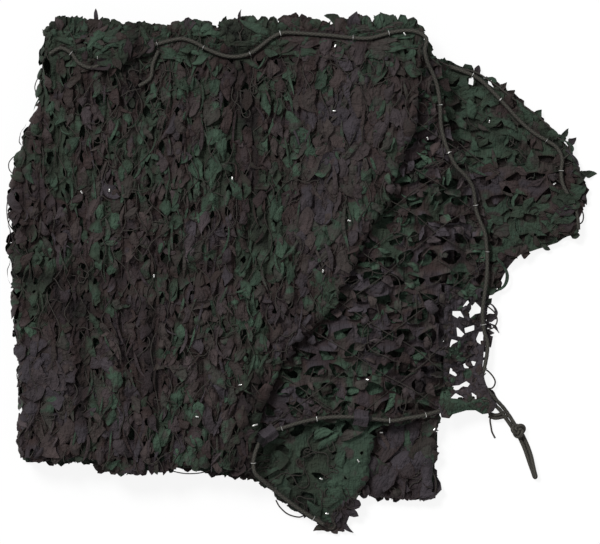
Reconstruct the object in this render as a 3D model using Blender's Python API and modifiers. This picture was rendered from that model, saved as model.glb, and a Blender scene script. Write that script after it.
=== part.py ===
"""A camouflage net folded into a pack, with one corner pulled out beside it.

The net is one sheet of leaf-cut cloth on a fine cord mesh, with a rope along its edges. The
sheet runs back and forth in eight layers: from the free corner (the flap) to the left, round
under the top layer, and down through the pack to the bottom layer, whose free end (the wing)
lies on the floor to the right. It is cut flat, with its holes, and folded afterwards.

+Z is up, +X runs along the pack's front edge, and the origin is under the middle of the pack.
Lengths are in metres.
"""

import math
from collections import namedtuple

import bmesh
import bpy
import numpy as np
from mathutils import Matrix, Vector
from mathutils.bvhtree import BVHTree

# ---------------------------------------------------------------- driving dimensions
CLOTH_THICK = 0.005  # cloth, cord mesh and the loft of the leaves, pressed together
PITCH = 0.011  # from one layer to the next where the pack is loftiest
EDGE_LOFT = 0.78  # how far the layers are pressed together at the pack's edges
PACK_HALF_X = 0.390
PACK_HALF_Y = 0.420
CLOTH_LENGTH = 0.800  # of the flat sheet across the layers, from one selvedge to the other
ROWS = 10  # faces across the sheet

ROPE_D = 0.007
ROPE_STEP = 0.022  # between two points of a rope
CLEAR = 0.0004  # between two pieces that touch
CLIP_WIRE = 0.0016
KNOT_RING = 0.0085  # radius of the turns of the knot
TAIL_GAP = 0.0005  # between the two runs of the doubled tail

# ---------------------------------------------------------------- outline tables
# Side edges are rows of (share of the way from the front edge to the back edge, x).
PACK_LEFT = (
    (0.00, -0.366), (0.26, -0.380), (0.50, -0.387), (0.66, -0.383),
    (0.72, -0.362), (0.80, -0.338), (0.92, -0.330), (1.00, -0.322),
)
TOP_RIGHT = (
    (0.00, 0.040), (0.08, 0.042), (0.16, 0.060), (0.24, 0.094), (0.30, 0.128),
    (0.37, 0.186), (0.44, 0.208), (0.53, 0.246), (0.62, 0.285), (0.72, 0.312),
    (0.83, 0.333), (0.92, 0.340), (1.00, 0.346),
)
FLAP_RIGHT = (
    (0.00, 0.474), (0.05, 0.462), (0.17, 0.474), (0.27, 0.466), (0.37, 0.472),
    (0.45, 0.472), (0.57, 0.450), (0.65, 0.438), (0.72, 0.404), (0.81, 0.389),
    (0.91, 0.384), (1.00, 0.352),
)
TONGUE_RIGHT = (
    (0.00, 0.232), (0.05, 0.246), (0.12, 0.256), (0.20, 0.300), (0.30, 0.355),
    (0.50, 0.376), (0.80, 0.370), (1.00, 0.336),
)
CORNER_RIGHT = (
    (0.00, 0.370), (0.04, 0.366), (0.10, 0.377), (0.16, 0.381), (0.50, 0.382),
    (0.90, 0.356), (1.00, 0.338),
)
WING_RIGHT = ((0.00, 0.628), (0.35, 0.644), (0.70, 0.650), (1.00, 0.624))

# Front and back edges are rows of (x, y).
TOP_FRONT = (
    (-0.40, -0.360), (-0.30, -0.371), (-0.24, -0.371), (-0.20, -0.385),
    (-0.12, -0.390), (-0.02, -0.382), (0.045, -0.385), (0.36, -0.385),
)
FLAP_FRONT = (
    (-0.40, -0.360), (0.00, -0.345), (0.055, -0.316), (0.11, -0.306), (0.17, -0.296),
    (0.22, -0.293), (0.30, -0.302), (0.36, -0.288), (0.41, -0.279), (0.48, -0.262),
)
TONGUE_FRONT = (
    (-0.40, -0.368), (-0.10, -0.384), (0.035, -0.384), (0.065, -0.410), (0.103, -0.445),
    (0.148, -0.477), (0.185, -0.500), (0.211, -0.492), (0.222, -0.462), (0.235, -0.428),
    (0.40, -0.428),
)
LOW_FRONT = (
    (-0.40, -0.368), (-0.10, -0.390), (0.05, -0.396), (0.15, -0.420), (0.235, -0.430),
    (0.372, -0.436), (0.392, -0.300), (0.402, -0.090), (0.477, -0.074), (0.499, -0.030),
    (0.526, -0.002), (0.571, 0.012), (0.620, 0.024), (0.65, 0.040),
)
PACK_BACK = ((-0.40, 0.406), (-0.20, 0.412), (0.00, 0.408), (0.20, 0.414), (0.36, 0.404))
WING_BACK = (
    (-0.40, 0.402), (0.33, 0.402), (0.37, 0.362), (0.439, 0.338), (0.499, 0.304),
    (0.574, 0.242), (0.622, 0.190), (0.65, 0.150),
)

# The layers in the order in which the sheet runs through them. level counts the layers
# below, way is the direction of the run along X, inset moves the left edge inwards, and
# columns is the number of faces along the visible (fine) and hidden (coarse) stretch.
Layer = namedtuple("Layer", "name level way inset right front back split coarse fine")
LAYERS = (
    Layer("flap", 5, -1, 0.022, FLAP_RIGHT, FLAP_FRONT, PACK_BACK, 0.02, 2, 13),
    Layer("under", 6, 1, 0.022, TOP_RIGHT, TOP_FRONT, PACK_BACK, 0.00, 3, 3),
    Layer("top", 7, -1, 0.016, TOP_RIGHT, TOP_FRONT, PACK_BACK, -0.38, 0, 15),
    Layer("tongue", 4, 1, 0.016, TONGUE_RIGHT, TONGUE_FRONT, PACK_BACK, 0.02, 4, 8),
    Layer("below", 3, -1, 0.010, TONGUE_RIGHT, TONGUE_FRONT, PACK_BACK, 0.20, 4, 2),
    Layer("corner", 2, 1, 0.010, CORNER_RIGHT, LOW_FRONT, PACK_BACK, 0.20, 4, 4),
    Layer("low", 1, -1, 0.006, CORNER_RIGHT, LOW_FRONT, PACK_BACK, 0.20, 4, 2),
    Layer("wing", 0, 1, 0.006, WING_RIGHT, LOW_FRONT, WING_BACK, 0.36, 4, 9),
)
FOLD_COLUMNS = {3: 6}  # faces round a fold that spans this many levels; the others get 4
USUAL_FOLD = 4

# Creases pressed into the pack: from (x, y) to (x, y), half width, share of the height.
Crease = namedtuple("Crease", "x0 y0 x1 y1 width depth")
CREASES = (
    Crease(-0.370, -0.045, 0.020, -0.030, 0.020, 0.11),
    Crease(-0.262, 0.150, -0.258, -0.230, 0.014, 0.08),
    Crease(-0.175, -0.090, -0.170, -0.370, 0.012, 0.09),
    Crease(-0.020, 0.380, 0.045, 0.020, 0.014, 0.08),
    Crease(0.010, -0.200, 0.012, -0.380, 0.012, 0.08),
    Crease(-0.330, 0.345, 0.080, 0.365, 0.014, 0.05),
)


# ---------------------------------------------------------------- the fold's shape
def along(table, at):
    """The table's second column, read in a straight line between its rows."""
    rows = np.array(table)
    return np.interp(at, rows[:, 0], rows[:, 1])


def ease(low, high, value):
    """0 below low, 1 above high, and a smooth S between them."""
    share = np.clip((value - low) / (high - low), 0, 1)
    return share * share * (3 - 2 * share)


def loft(x, y):
    """How thick the pack is here: crowned, rippled by the gathers, and creased."""
    from_middle = (1 - np.abs(np.clip(x / PACK_HALF_X, -1, 1)) ** 3) * (
        1 - np.abs(np.clip(y / PACK_HALF_Y, -1, 1)) ** 3
    )
    thick = EDGE_LOFT + (1.04 - EDGE_LOFT) * from_middle
    gathers = 0.030 * np.sin(2 * np.pi * x / 0.083 + 2.2 * np.sin(5 * y) + 1.0)
    swell = 0.025 * np.sin(2 * np.pi * y / 0.31 + 7 * x)
    thick = thick + (gathers + swell) * (0.3 + 0.7 * from_middle)
    for crease in CREASES:
        start = np.array((crease.x0, crease.y0))
        run = np.array((crease.x1, crease.y1)) - start
        share = np.clip(((x - start[0]) * run[0] + (y - start[1]) * run[1]) / (run @ run), 0, 1)
        away = np.hypot(x - start[0] - share * run[0], y - start[1] - share * run[1])
        thick = thick - crease.depth * np.exp(-((away / crease.width) ** 2))
    return np.maximum(thick, 0.66)


def wing_lift(x, y):
    """How far the wing's folds stand up off the floor, outside the pack."""
    from_edge = ease(0.405, 0.450, x)
    ridges = np.sin(2 * np.pi * (0.80 * x + 0.60 * y) / 0.105 + 1.1)
    return from_edge * (0.0035 + 0.0075 * np.clip(ridges, 0, 1))


def flap_level(x, y):
    """The flap lies on the tongue's layer, and past its edge sags to the corner's."""
    share = np.clip((y + 0.43) / 0.84, 0, 1)
    return 5 - 1.9 * ease(0.010, 0.065, x - along(TONGUE_RIGHT, share))


def layer_height(layer, x, y):
    """The middle of the sheet's thickness, above the floor."""
    half = CLOTH_THICK / 2
    step = PITCH * loft(x, y)
    if layer.name == "wing":
        return half + wing_lift(x, y)
    if layer.name == "flap":
        open_share = ease(0.03, 0.08, x - along(TOP_RIGHT, (y + 0.385) / 0.80))
        waves = 0.0035 * open_share * (1 + np.sin(2 * np.pi * (x - 0.55 * y) / 0.092))
        hung = half + flap_level(x, y) * step * (1 - ease(0.386, 0.470, x)) + waves
        over_wing = ease(-0.10, -0.06, y) * (wing_lift(x, y) + CLOTH_THICK + 0.0022)
        return np.maximum(hung, half + over_wing)
    if layer.name in ("tongue", "below"):
        return half + layer.level * step * ease(-0.507, -0.400, y)
    return half + layer.level * step


def on_layer(layer, share, across):
    """Points of a layer's middle surface: share runs left to right, across front to back."""
    left = along(PACK_LEFT, across) + layer.inset
    x = left + share * (along(layer.right, across) - left)
    front, back = along(layer.front, x), along(layer.back, x)
    y = front + across * (back - front)
    return np.stack([x, y, layer_height(layer, x, y)], axis=-1)


def round_fold(before, after, turn, across):
    """Points and outward normals on the half turn that joins two layers.

    It is a half circle between the end of one layer and the start of the next: the mean of
    the two, plus half their difference times cos, plus the radius outwards times sin.
    """
    side = 1.0 if before.way > 0 else -1.0
    end = 1.0 if before.way > 0 else 0.0
    first, second = on_layer(before, end, across), on_layer(after, end, across)
    half_gap = (first[..., 2] - second[..., 2]) / 2
    angle = np.pi * turn
    points = (first + second) / 2 + (first - second) / 2 * np.cos(angle)[..., None]
    points[..., 0] += side * np.abs(half_gap) * np.sin(angle)
    zero = np.zeros_like(angle)
    normals = np.stack([np.sign(half_gap) * np.sin(angle), zero, side * np.cos(angle)], axis=-1)
    return points, normals


Run = namedtuple("Run", "start end before after")


def sheet_runs():
    """The stretches of the flat sheet in order: a layer, a fold, a layer and so on."""
    runs, at = [], 0.0
    for i, layer in enumerate(LAYERS):
        width = along(layer.right, 0.4) - along(PACK_LEFT, 0.4) - layer.inset
        runs.append(Run(at, at + width, layer, None))
        at += width
        if i + 1 < len(LAYERS):
            after = LAYERS[i + 1]
            length = math.pi * abs(after.level - layer.level) * PITCH / 2
            runs.append(Run(at, at + length, layer, after))
            at += length
    return runs


RUNS = sheet_runs()


def fold_up(points):
    """Moves points of the flat sheet (run, across, thickness) to their folded places."""
    along_sheet, across, off = points.T
    across = np.clip(across / CLOTH_LENGTH, 0, 1)
    placed = np.empty_like(points)
    number = np.searchsorted([run.end for run in RUNS[:-1]], along_sheet, side="left")
    for i, run in enumerate(RUNS):
        here = number == i
        share = np.clip((along_sheet[here] - run.start) / (run.end - run.start), 0, 1)
        if run.after is None:
            share = share if run.before.way > 0 else 1 - share
            middle = on_layer(run.before, share, across[here])
            middle[:, 2] += run.before.way * off[here]
            placed[here] = middle
        else:
            middle, normal = round_fold(run.before, run.after, share, across[here])
            placed[here] = middle + normal * off[here][:, None]
    return placed


def flat_place(layer_name, x, y):
    """Where a point of a layer lies on the flat sheet: the reverse of on_layer."""
    run = next(r for r in RUNS if r.after is None and r.before.name == layer_name)
    layer = run.before
    front, back = along(layer.front, x), along(layer.back, x)
    across = (y - front) / (back - front)
    left = along(PACK_LEFT, across) + layer.inset
    share = (x - left) / (along(layer.right, across) - left)
    share = share if layer.way > 0 else 1 - share
    return run.start + share * (run.end - run.start), across * CLOTH_LENGTH


# ---------------------------------------------------------------- helpers
def clear_scene():
    for obj in list(bpy.data.objects):
        bpy.data.objects.remove(obj)


def new_collection(name):
    made = bpy.data.collections.new(name)
    bpy.context.scene.collection.children.link(made)
    return made


def new_material(name, colour, rough, metal=0.0):
    made = bpy.data.materials.new(name)
    made.use_nodes = True
    shader = made.node_tree.nodes["Principled BSDF"]
    shader.inputs["Base Color"].default_value = (*colour, 1.0)
    shader.inputs["Roughness"].default_value = rough
    shader.inputs["Metallic"].default_value = metal
    return made


def add_object(name, data, collection, material=None):
    obj = bpy.data.objects.new(name, data)
    collection.objects.link(obj)
    if material:
        obj.data.materials.append(material)
    return obj


def as_mesh(obj):
    """A curve made into a mesh object of the same name, with its caps welded."""
    graph = bpy.context.evaluated_depsgraph_get()
    mesh = bpy.data.meshes.new_from_object(obj.evaluated_get(graph))
    welded = bmesh.new()
    welded.from_mesh(mesh)
    bmesh.ops.remove_doubles(welded, verts=welded.verts, dist=1e-6)
    welded.to_mesh(mesh)
    welded.free()
    name, place, collection = obj.name, obj.matrix_world.copy(), obj.users_collection[0]
    bpy.data.objects.remove(obj)
    made = add_object(name, mesh, collection)
    made.matrix_world = place
    return made


def tube(name, points, diameter, collection, material, sides=2, closed=False):
    """A round bar along the points, as a curve with filled caps."""
    curve = bpy.data.curves.new(name, "CURVE")
    curve.dimensions = "3D"
    curve.bevel_depth = diameter / 2
    curve.bevel_resolution = sides
    curve.use_fill_caps = not closed
    spline = curve.splines.new("POLY")
    spline.points.add(len(points) - 1)
    for point, at in zip(spline.points, points):
        point.co = (*at, 1.0)
    spline.use_cyclic_u = closed
    return add_object(name, curve, collection, material)


def smooth_route(route, step):
    """Points a step apart on one smooth curve (Catmull-Rom) through the route's own."""
    ends = np.vstack([2 * route[0] - route[1], route, 2 * route[-1] - route[-2]])
    share = np.linspace(0, 1, 12, endpoint=False)[:, None]
    fine = [route[:1]]
    for a, b, c, d in zip(ends[:-3], ends[1:-2], ends[2:-1], ends[3:]):
        curve = 2 * b + (c - a) * share + (2 * a - 5 * b + 4 * c - d) * share**2
        fine.append((curve + (3 * b - a - 3 * c + d) * share**3) / 2)
    fine = np.vstack([*fine[1:], route[-1:]])
    run = np.concatenate([[0], np.cumsum(np.linalg.norm(np.diff(fine, axis=0), axis=1))])
    at = np.linspace(0, run[-1], max(3, round(run[-1] / step) + 1))
    return np.stack([np.interp(at, run, column) for column in fine.T], axis=-1)


# ---------------------------------------------------------------- the net's cloth
def flat_columns():
    """Where the flat sheet's face edges lie along its run: close where it shows."""
    at = []
    for run in RUNS:
        if run.after is not None:
            levels = abs(run.after.level - run.before.level)
            count = FOLD_COLUMNS.get(levels, USUAL_FOLD)
            at.extend(np.linspace(run.start, run.end, count, endpoint=False))
            continue
        layer = run.before
        left = float(along(PACK_LEFT, 0.4)) + layer.inset
        split = (layer.split - left) / (float(along(layer.right, 0.4)) - left)
        shares = [split + (1 - split) * i / layer.fine for i in range(layer.fine + 1)]
        if layer.coarse:
            shares = [split * i / layer.coarse for i in range(layer.coarse)] + shares
        else:
            shares[0] = 0.0
        if layer.way < 0:
            shares = [1 - share for share in reversed(shares)]
        at.extend(run.start + share * (run.end - run.start) for share in shares[:-1])
    return np.array([*at, RUNS[-1].end])


def flat_sheet(collection):
    """The sheet before it is folded: a grid with its columns at flat_columns()."""
    columns = flat_columns()
    bpy.ops.mesh.primitive_grid_add(x_subdivisions=len(columns) - 1, y_subdivisions=ROWS, size=1)
    sheet = bpy.context.object
    for holder in list(sheet.users_collection):
        holder.objects.unlink(sheet)
    collection.objects.link(sheet)
    for vertex in sheet.data.vertices:
        number = round((vertex.co.x + 0.5) * (len(columns) - 1))
        vertex.co = (columns[number], (vertex.co.y + 0.5) * CLOTH_LENGTH, 0)
    sheet.data.update()
    return sheet


# The gaps between the cut leaves, by layer. Laid open they are at their own pitch. Gathered,
# on the top of the pack, they are slits, and every second one each way is cut.
HoleField = namedtuple("HoleField", "layer pitch_x pitch_y half_x half_y corners most_turn")
HOLE_FIELDS = (
    HoleField("flap", 0.046, 0.037, 0.0150, 0.0100, 6, 0.6),
    HoleField("wing", 0.046, 0.037, 0.0150, 0.0100, 6, 0.6),
    HoleField("tongue", 0.046, 0.037, 0.0150, 0.0100, 6, 0.6),
    HoleField("top", 0.060, 0.080, 0.0065, 0.0170, 4, 0.3),
)
EDGE_BAND = 0.021  # cloth left whole along a selvedge or a fold


def hole_fits(layer_name, x, y):
    """True where a hole shows and keeps its band of cloth to the sheet's edges."""
    if layer_name == "flap":
        share = (y + 0.385) / 0.80
        inside = x > along(TOP_RIGHT, share) + 0.030
        right = along(FLAP_RIGHT, np.clip((y + 0.27) / 0.63, 0, 1)) - EDGE_BAND
        return inside and x < right and along(FLAP_FRONT, x) + EDGE_BAND < y < 0.33
    if layer_name == "wing":
        left = along(FLAP_RIGHT, np.clip((y + 0.27) / 0.63, 0, 1)) + 0.012
        low, high = along(LOW_FRONT, x) + EDGE_BAND, along(WING_BACK, x) - EDGE_BAND
        return left < x < 0.625 and low < y < high
    if layer_name == "top":
        left = along(PACK_LEFT, (y + 0.385) / 0.80) + 2 * EDGE_BAND
        right = along(TOP_RIGHT, (y + 0.385) / 0.80) - 1.5 * EDGE_BAND
        return left < x < right and -0.345 < y < 0.325
    left = along(((-0.50, 0.26), (-0.44, 0.12), (-0.384, 0.06), (-0.30, 0.06)), y)
    return left < x < 0.215 and along(TONGUE_FRONT, x) + EDGE_BAND < y < -0.335


def hole_outline(field, x, y, turn, size):
    """One leaf-shaped hole's corners on the flat sheet."""
    angles = 2 * np.pi * np.arange(field.corners) / field.corners
    wide = field.half_x * size * np.cos(angles)
    deep = field.half_y * size * (np.sin(angles) + 0.25 * np.cos(2 * angles))
    plan_x = x + wide * math.cos(turn) - deep * math.sin(turn)
    plan_y = y + wide * math.sin(turn) + deep * math.cos(turn)
    return np.stack(flat_place(field.layer, plan_x, plan_y), axis=-1)


def hole_cutter(collection):
    """All the holes as one cutter: a flat curve, an outline for each hole, extruded."""
    random = np.random.default_rng(4)
    curve = bpy.data.curves.new("hole_cutter", "CURVE")
    curve.dimensions = "2D"
    curve.fill_mode = "BOTH"
    curve.extrude = 2 * CLOTH_THICK
    for field in HOLE_FIELDS:
        for row, y in enumerate(np.arange(-0.48, 0.36, field.pitch_y)):
            for x in np.arange(-0.37, 0.64, field.pitch_x) + (row % 2) * field.pitch_x / 2:
                px, py = x + random.uniform(-0.006, 0.006), y + random.uniform(-0.005, 0.005)
                turn = random.uniform(-field.most_turn, field.most_turn)
                size = random.uniform(0.8, 1.15)
                if not hole_fits(field.layer, px, py):
                    continue
                outline = hole_outline(field, px, py, turn, size)
                spline = curve.splines.new("POLY")
                spline.points.add(len(outline) - 1)
                for point, (run, across) in zip(spline.points, outline):
                    point.co = (run, across, 0, 1)
                spline.use_cyclic_u = True
    cutter = as_mesh(add_object("hole_cutter", curve, collection))
    cutter.hide_render = True
    cutter.display_type = "WIRE"
    return cutter


def folded_cloth(collection, helpers, material):
    """Cuts the flat sheet's holes, gives it its thickness, and folds it into the pack."""
    sheet = flat_sheet(helpers)
    sheet.name = "flat_sheet"
    thick = sheet.modifiers.new("thickness", "SOLIDIFY")
    thick.thickness = CLOTH_THICK
    thick.offset = 0
    holes = sheet.modifiers.new("holes", "BOOLEAN")
    holes.operation = "DIFFERENCE"
    holes.object = hole_cutter(helpers)
    sheet.modifiers.new("triangles", "TRIANGULATE")
    graph = bpy.context.evaluated_depsgraph_get()
    mesh = bpy.data.meshes.new_from_object(sheet.evaluated_get(graph))
    bpy.data.objects.remove(sheet)
    flat = np.empty(len(mesh.vertices) * 3, np.float32)
    mesh.vertices.foreach_get("co", flat)
    folded = fold_up(flat.reshape(-1, 3).astype(np.float64))
    mesh.vertices.foreach_set("co", folded.astype(np.float32).ravel())
    mesh.update()
    return add_object("net_cloth", mesh, collection, material)


# ---------------------------------------------------------------- the edge rope
# Routes in plan, as (x, y). The rope's height comes from the cloth under it.
BACK_ROUTE = (
    (-0.318, 0.362), (-0.303, 0.371), (-0.288, 0.370), (-0.275, 0.357), (-0.262, 0.342),
    (-0.240, 0.337), (-0.215, 0.350), (-0.190, 0.368), (-0.160, 0.372), (-0.122, 0.380),
    (-0.090, 0.388), (-0.068, 0.386), (-0.045, 0.374), (-0.018, 0.362), (0.010, 0.356),
    (0.040, 0.362), (0.066, 0.380), (0.090, 0.397), (0.118, 0.399), (0.150, 0.397),
    (0.190, 0.394), (0.225, 0.390), (0.258, 0.390), (0.285, 0.398), (0.312, 0.403),
    (0.338, 0.401), (0.353, 0.394), (0.357, 0.380), (0.352, 0.362), (0.360, 0.342),
    (0.372, 0.316), (0.378, 0.290), (0.381, 0.262), (0.382, 0.235), (0.388, 0.208),
    (0.397, 0.184), (0.410, 0.160), (0.428, 0.142), (0.441, 0.120), (0.444, 0.098),
    (0.448, 0.074), (0.461, 0.044), (0.465, 0.014), (0.466, -0.020), (0.463, -0.056),
    (0.458, -0.092), (0.459, -0.128), (0.467, -0.158), (0.463, -0.192), (0.457, -0.222),
    (0.470, -0.246), (0.488, -0.264), (0.504, -0.284), (0.5125, -0.2985),
)
FRONT_ROUTE = (
    (0.5045, -0.3035), (0.492, -0.286), (0.478, -0.268), (0.456, -0.259), (0.430, -0.265),
    (0.400, -0.272), (0.372, -0.280), (0.345, -0.287), (0.318, -0.291), (0.295, -0.295),
    (0.255, -0.291), (0.215, -0.288), (0.170, -0.290), (0.130, -0.298), (0.095, -0.309),
    (0.070, -0.318), (0.056, -0.336), (0.047, -0.362), (0.048, -0.386), (0.066, -0.404),
    (0.090, -0.425), (0.118, -0.447), (0.146, -0.466), (0.172, -0.482),
)
WING_ROUTE = (
    (0.398, 0.341), (0.420, 0.333), (0.442, 0.324), (0.460, 0.311), (0.480, 0.291),
    (0.500, 0.270), (0.522, 0.246), (0.545, 0.225), (0.567, 0.211), (0.588, 0.198),
    (0.600, 0.182), (0.600, 0.162), (0.599, 0.140), (0.608, 0.116), (0.620, 0.096),
    (0.628, 0.070), (0.630, 0.048),
)
HANGING_ROUTE = (
    (-0.124, 0.366), (-0.133, 0.350), (-0.134, 0.330), (-0.142, 0.312), (-0.158, 0.304),
)


class Ground:
    """The cloth's top surface, or the floor where there is no cloth."""

    def __init__(self, cloth):
        graph = bpy.context.evaluated_depsgraph_get()
        self.tree = BVHTree.FromObject(cloth, graph)

    def height(self, x, y):
        hit = self.tree.ray_cast(Vector((x, y, 0.4)), Vector((0, 0, -1)))[0]
        return hit.z if hit else 0.0

    def highest(self, x, y, reach):
        """The highest ground within reach of a point."""
        ring = [(reach * math.cos(a), reach * math.sin(a)) for a in np.arange(8) * math.pi / 4]
        inner = [(dx / 2, dy / 2) for dx, dy in ring]
        return max(self.height(x + dx, y + dy) for dx, dy in [(0, 0), *ring, *inner])


def lie_on(ground, plan, step):
    """A route laid over the ground, clear of it all along, and smooth in height."""
    flat = smooth_route(np.array([(x, y, 0.0) for x, y in plan]), step)
    reach = ROPE_D / 2 + 0.0022
    low = np.array([ground.highest(x, y, reach) for x, y, _ in flat])
    padded = np.pad(low, 1, mode="edge")
    crest = np.maximum(np.maximum(padded[:-2], padded[1:-1]), padded[2:])
    padded = np.pad(crest, 1, mode="edge")
    calm = np.maximum((padded[:-2] + 2 * padded[1:-1] + padded[2:]) / 4, low)
    flat[:, 2] = calm + ROPE_D / 2 + CLEAR
    return flat


def butt(line, solid):
    """Runs the line's last stretch on, or cuts it back, until its end just meets the solid."""
    graph = bpy.context.evaluated_depsgraph_get()
    tree = BVHTree.FromObject(solid, graph)
    place = solid.matrix_world
    back = place.inverted()
    line[-1][2] = line[-2][2] = line[:, 2].min()
    run = Vector(line[-1] - line[-2]).normalized()
    side = run.orthogonal().normalized()
    rim = [Matrix.Rotation(turn * math.pi / 8, 3, run) @ side * ROPE_D / 2 for turn in range(16)]
    at = Vector(line[-2]) + run * 0.002
    for _ in range(200):
        near = min(tree.find_nearest(back @ (at + arm))[3] for arm in [*rim, Vector()])
        if near < 2 * CLEAR:
            break
        at = at + run * 0.0002
    line[-1] = at
    return line


def clip_on(name, centreline, at, collection, material):
    """A wire staple crimped round the rope: an open ring in the plane across it."""
    near = int(np.argmin(np.hypot(centreline[:, 0] - at[0], centreline[:, 1] - at[1])))
    near = min(max(near, 1), len(centreline) - 2)
    run = Vector(centreline[near + 1] - centreline[near - 1]).normalized()
    side = run.cross(Vector((0, 0, 1))).normalized()
    up = side.cross(run).normalized()
    radius = ROPE_D / 2 / math.cos(math.pi / 8) + CLEAR + CLIP_WIRE / 2
    angles = np.radians(np.linspace(-25, 205, 8))
    middle = Vector(centreline[near])
    points = [middle + radius * (math.cos(a) * side + math.sin(a) * up) for a in angles]
    return tube(name, points, CLIP_WIRE, collection, material, sides=0)


CLIPS = {
    "back": (
        (-0.275, 0.357), (-0.122, 0.380), (-0.050, 0.376), (0.032, 0.359), (0.095, 0.398),
        (0.232, 0.390), (0.283, 0.398), (0.381, 0.268), (0.399, 0.181), (0.445, 0.096),
        (0.465, 0.010), (0.459, -0.118),
    ),
    "wing": ((0.440, 0.325), (0.497, 0.273), (0.567, 0.211), (0.599, 0.160)),
    "front": (
        (0.400, -0.272), (0.358, -0.284), (0.290, -0.295), (0.168, -0.290), (0.088, -0.311),
        (0.047, -0.374), (0.083, -0.419), (0.160, -0.475),
    ),
}


# ---------------------------------------------------------------- knot, tail and tabs
KNOT_AT = Vector((0.522, -0.3135, 0.0))
KNOT_RUN = Vector((0.545, -0.838, 0.0)).normalized()  # from the net's corner to the tail
TAIL_ROUTE = ((0.529, -0.3275), (0.536, -0.343), (0.542, -0.360), (0.547, -0.378), (0.552, -0.395))


def corner_knot(collection, helpers, material):
    """The overhand knot in the doubled rope: two turns and a crossing one round a core."""
    middle = KNOT_AT + Vector((0, 0, KNOT_RING + ROPE_D / 2 - 0.0010))
    across = Vector((0, 0, 1)).cross(KNOT_RUN)
    frame = Matrix((across, Vector((0, 0, 1)), KNOT_RUN)).transposed().to_4x4()
    turns = []
    for name, shift, lean in (("turn_a", -0.0042, 0.22), ("turn_b", 0.0042, -0.18), ("turn_c", 0.0, 0.62)):
        bpy.ops.mesh.primitive_torus_add(
            major_radius=KNOT_RING * 0.92, minor_radius=ROPE_D / 2 * 1.05, major_segments=14, minor_segments=8
        )
        ring = bpy.context.object
        ring.name = name
        place = Matrix.Translation(middle + KNOT_RUN * shift) @ frame
        ring.matrix_world = place @ Matrix.Rotation(lean, 4, "X")
        turns.append(ring)
    bpy.ops.mesh.primitive_cylinder_add(vertices=12, radius=KNOT_RING * 0.95, depth=0.017)
    core = bpy.context.object
    core.name = "corner_knot"
    core.matrix_world = Matrix.Translation(middle) @ frame
    for obj in (core, *turns):
        for holder in list(obj.users_collection):
            holder.objects.unlink(obj)
    collection.objects.link(core)
    core.data.materials.append(material)
    for ring in turns:
        helpers.objects.link(ring)
        ring.hide_render = True
        ring.display_type = "WIRE"
        union = core.modifiers.new(ring.name, "BOOLEAN")
        union.operation = "UNION"
        union.object = ring
    bottom = core.modifiers.new("floor", "BOOLEAN")
    bottom.operation = "DIFFERENCE"
    bpy.ops.mesh.primitive_cube_add(size=0.08, location=(*KNOT_AT.xy, -0.04))
    slab = bpy.context.object
    slab.name = "knot_floor"
    for holder in list(slab.users_collection):
        holder.objects.unlink(slab)
    helpers.objects.link(slab)
    slab.hide_render = True
    slab.display_type = "WIRE"
    bottom.object = slab
    return core


def doubled_tail(knot, collection, material):
    """The loop of rope that leaves the knot: out along one side and back along the other."""
    middle = smooth_route(np.array([(x, y, 0.0) for x, y in TAIL_ROUTE]), 0.008)
    run = np.gradient(middle, axis=0)
    run /= np.linalg.norm(run, axis=1)[:, None]
    side = np.stack([-run[:, 1], run[:, 0], np.zeros(len(run))], axis=-1)
    half = (ROPE_D + TAIL_GAP) / 2
    turn = np.linspace(np.pi / 2, -np.pi / 2, 6)[:, None]
    tip = middle[-1] + half * (np.sin(turn) * side[-1] + np.cos(turn) * run[-1])
    line = np.vstack([middle[:-1] + side[:-1] * half, tip, (middle[:-1] - side[:-1] * half)[::-1]])
    line[:, 2] = ROPE_D / 2
    line = butt(butt(line, knot)[::-1], knot)
    return tube("corner_tail", line, ROPE_D, collection, material)


def hem_tab(name, centreline, at, width, slack, collection, material):
    """A strip of cloth wrapped over the rope: an arch across it, as wide as the strip."""
    near = int(np.argmin(np.hypot(centreline[:, 0] - at[0], centreline[:, 1] - at[1])))
    run = Vector(centreline[near + 1] - centreline[near - 1])
    run.z = 0
    run.normalize()
    side = Vector((0, 0, 1)).cross(run)
    radius = ROPE_D / 2 + slack
    angles = np.radians(np.linspace(-20, 200, 9))
    curve = bpy.data.curves.new(name, "CURVE")
    curve.dimensions = "3D"
    curve.extrude = width / 2
    spline = curve.splines.new("POLY")
    spline.points.add(len(angles) - 1)
    for point, a in zip(spline.points, angles):
        point.co = (radius * math.cos(a), radius * math.sin(a), 0, 1)
    arch = as_mesh(add_object(name, curve, collection))
    lift = float(centreline[max(near - 1, 0) : near + 2, 2].max() - centreline[near, 2])
    frame = Matrix((side, Vector((0, 0, 1)), run)).transposed().to_4x4()
    arch.matrix_world = Matrix.Translation(Vector(centreline[near]) + Vector((0, 0, lift))) @ frame
    arch.data.materials.append(material)
    thick = arch.modifiers.new("thickness", "SOLIDIFY")
    thick.thickness = 0.0010
    thick.offset = 0
    return arch


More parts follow.
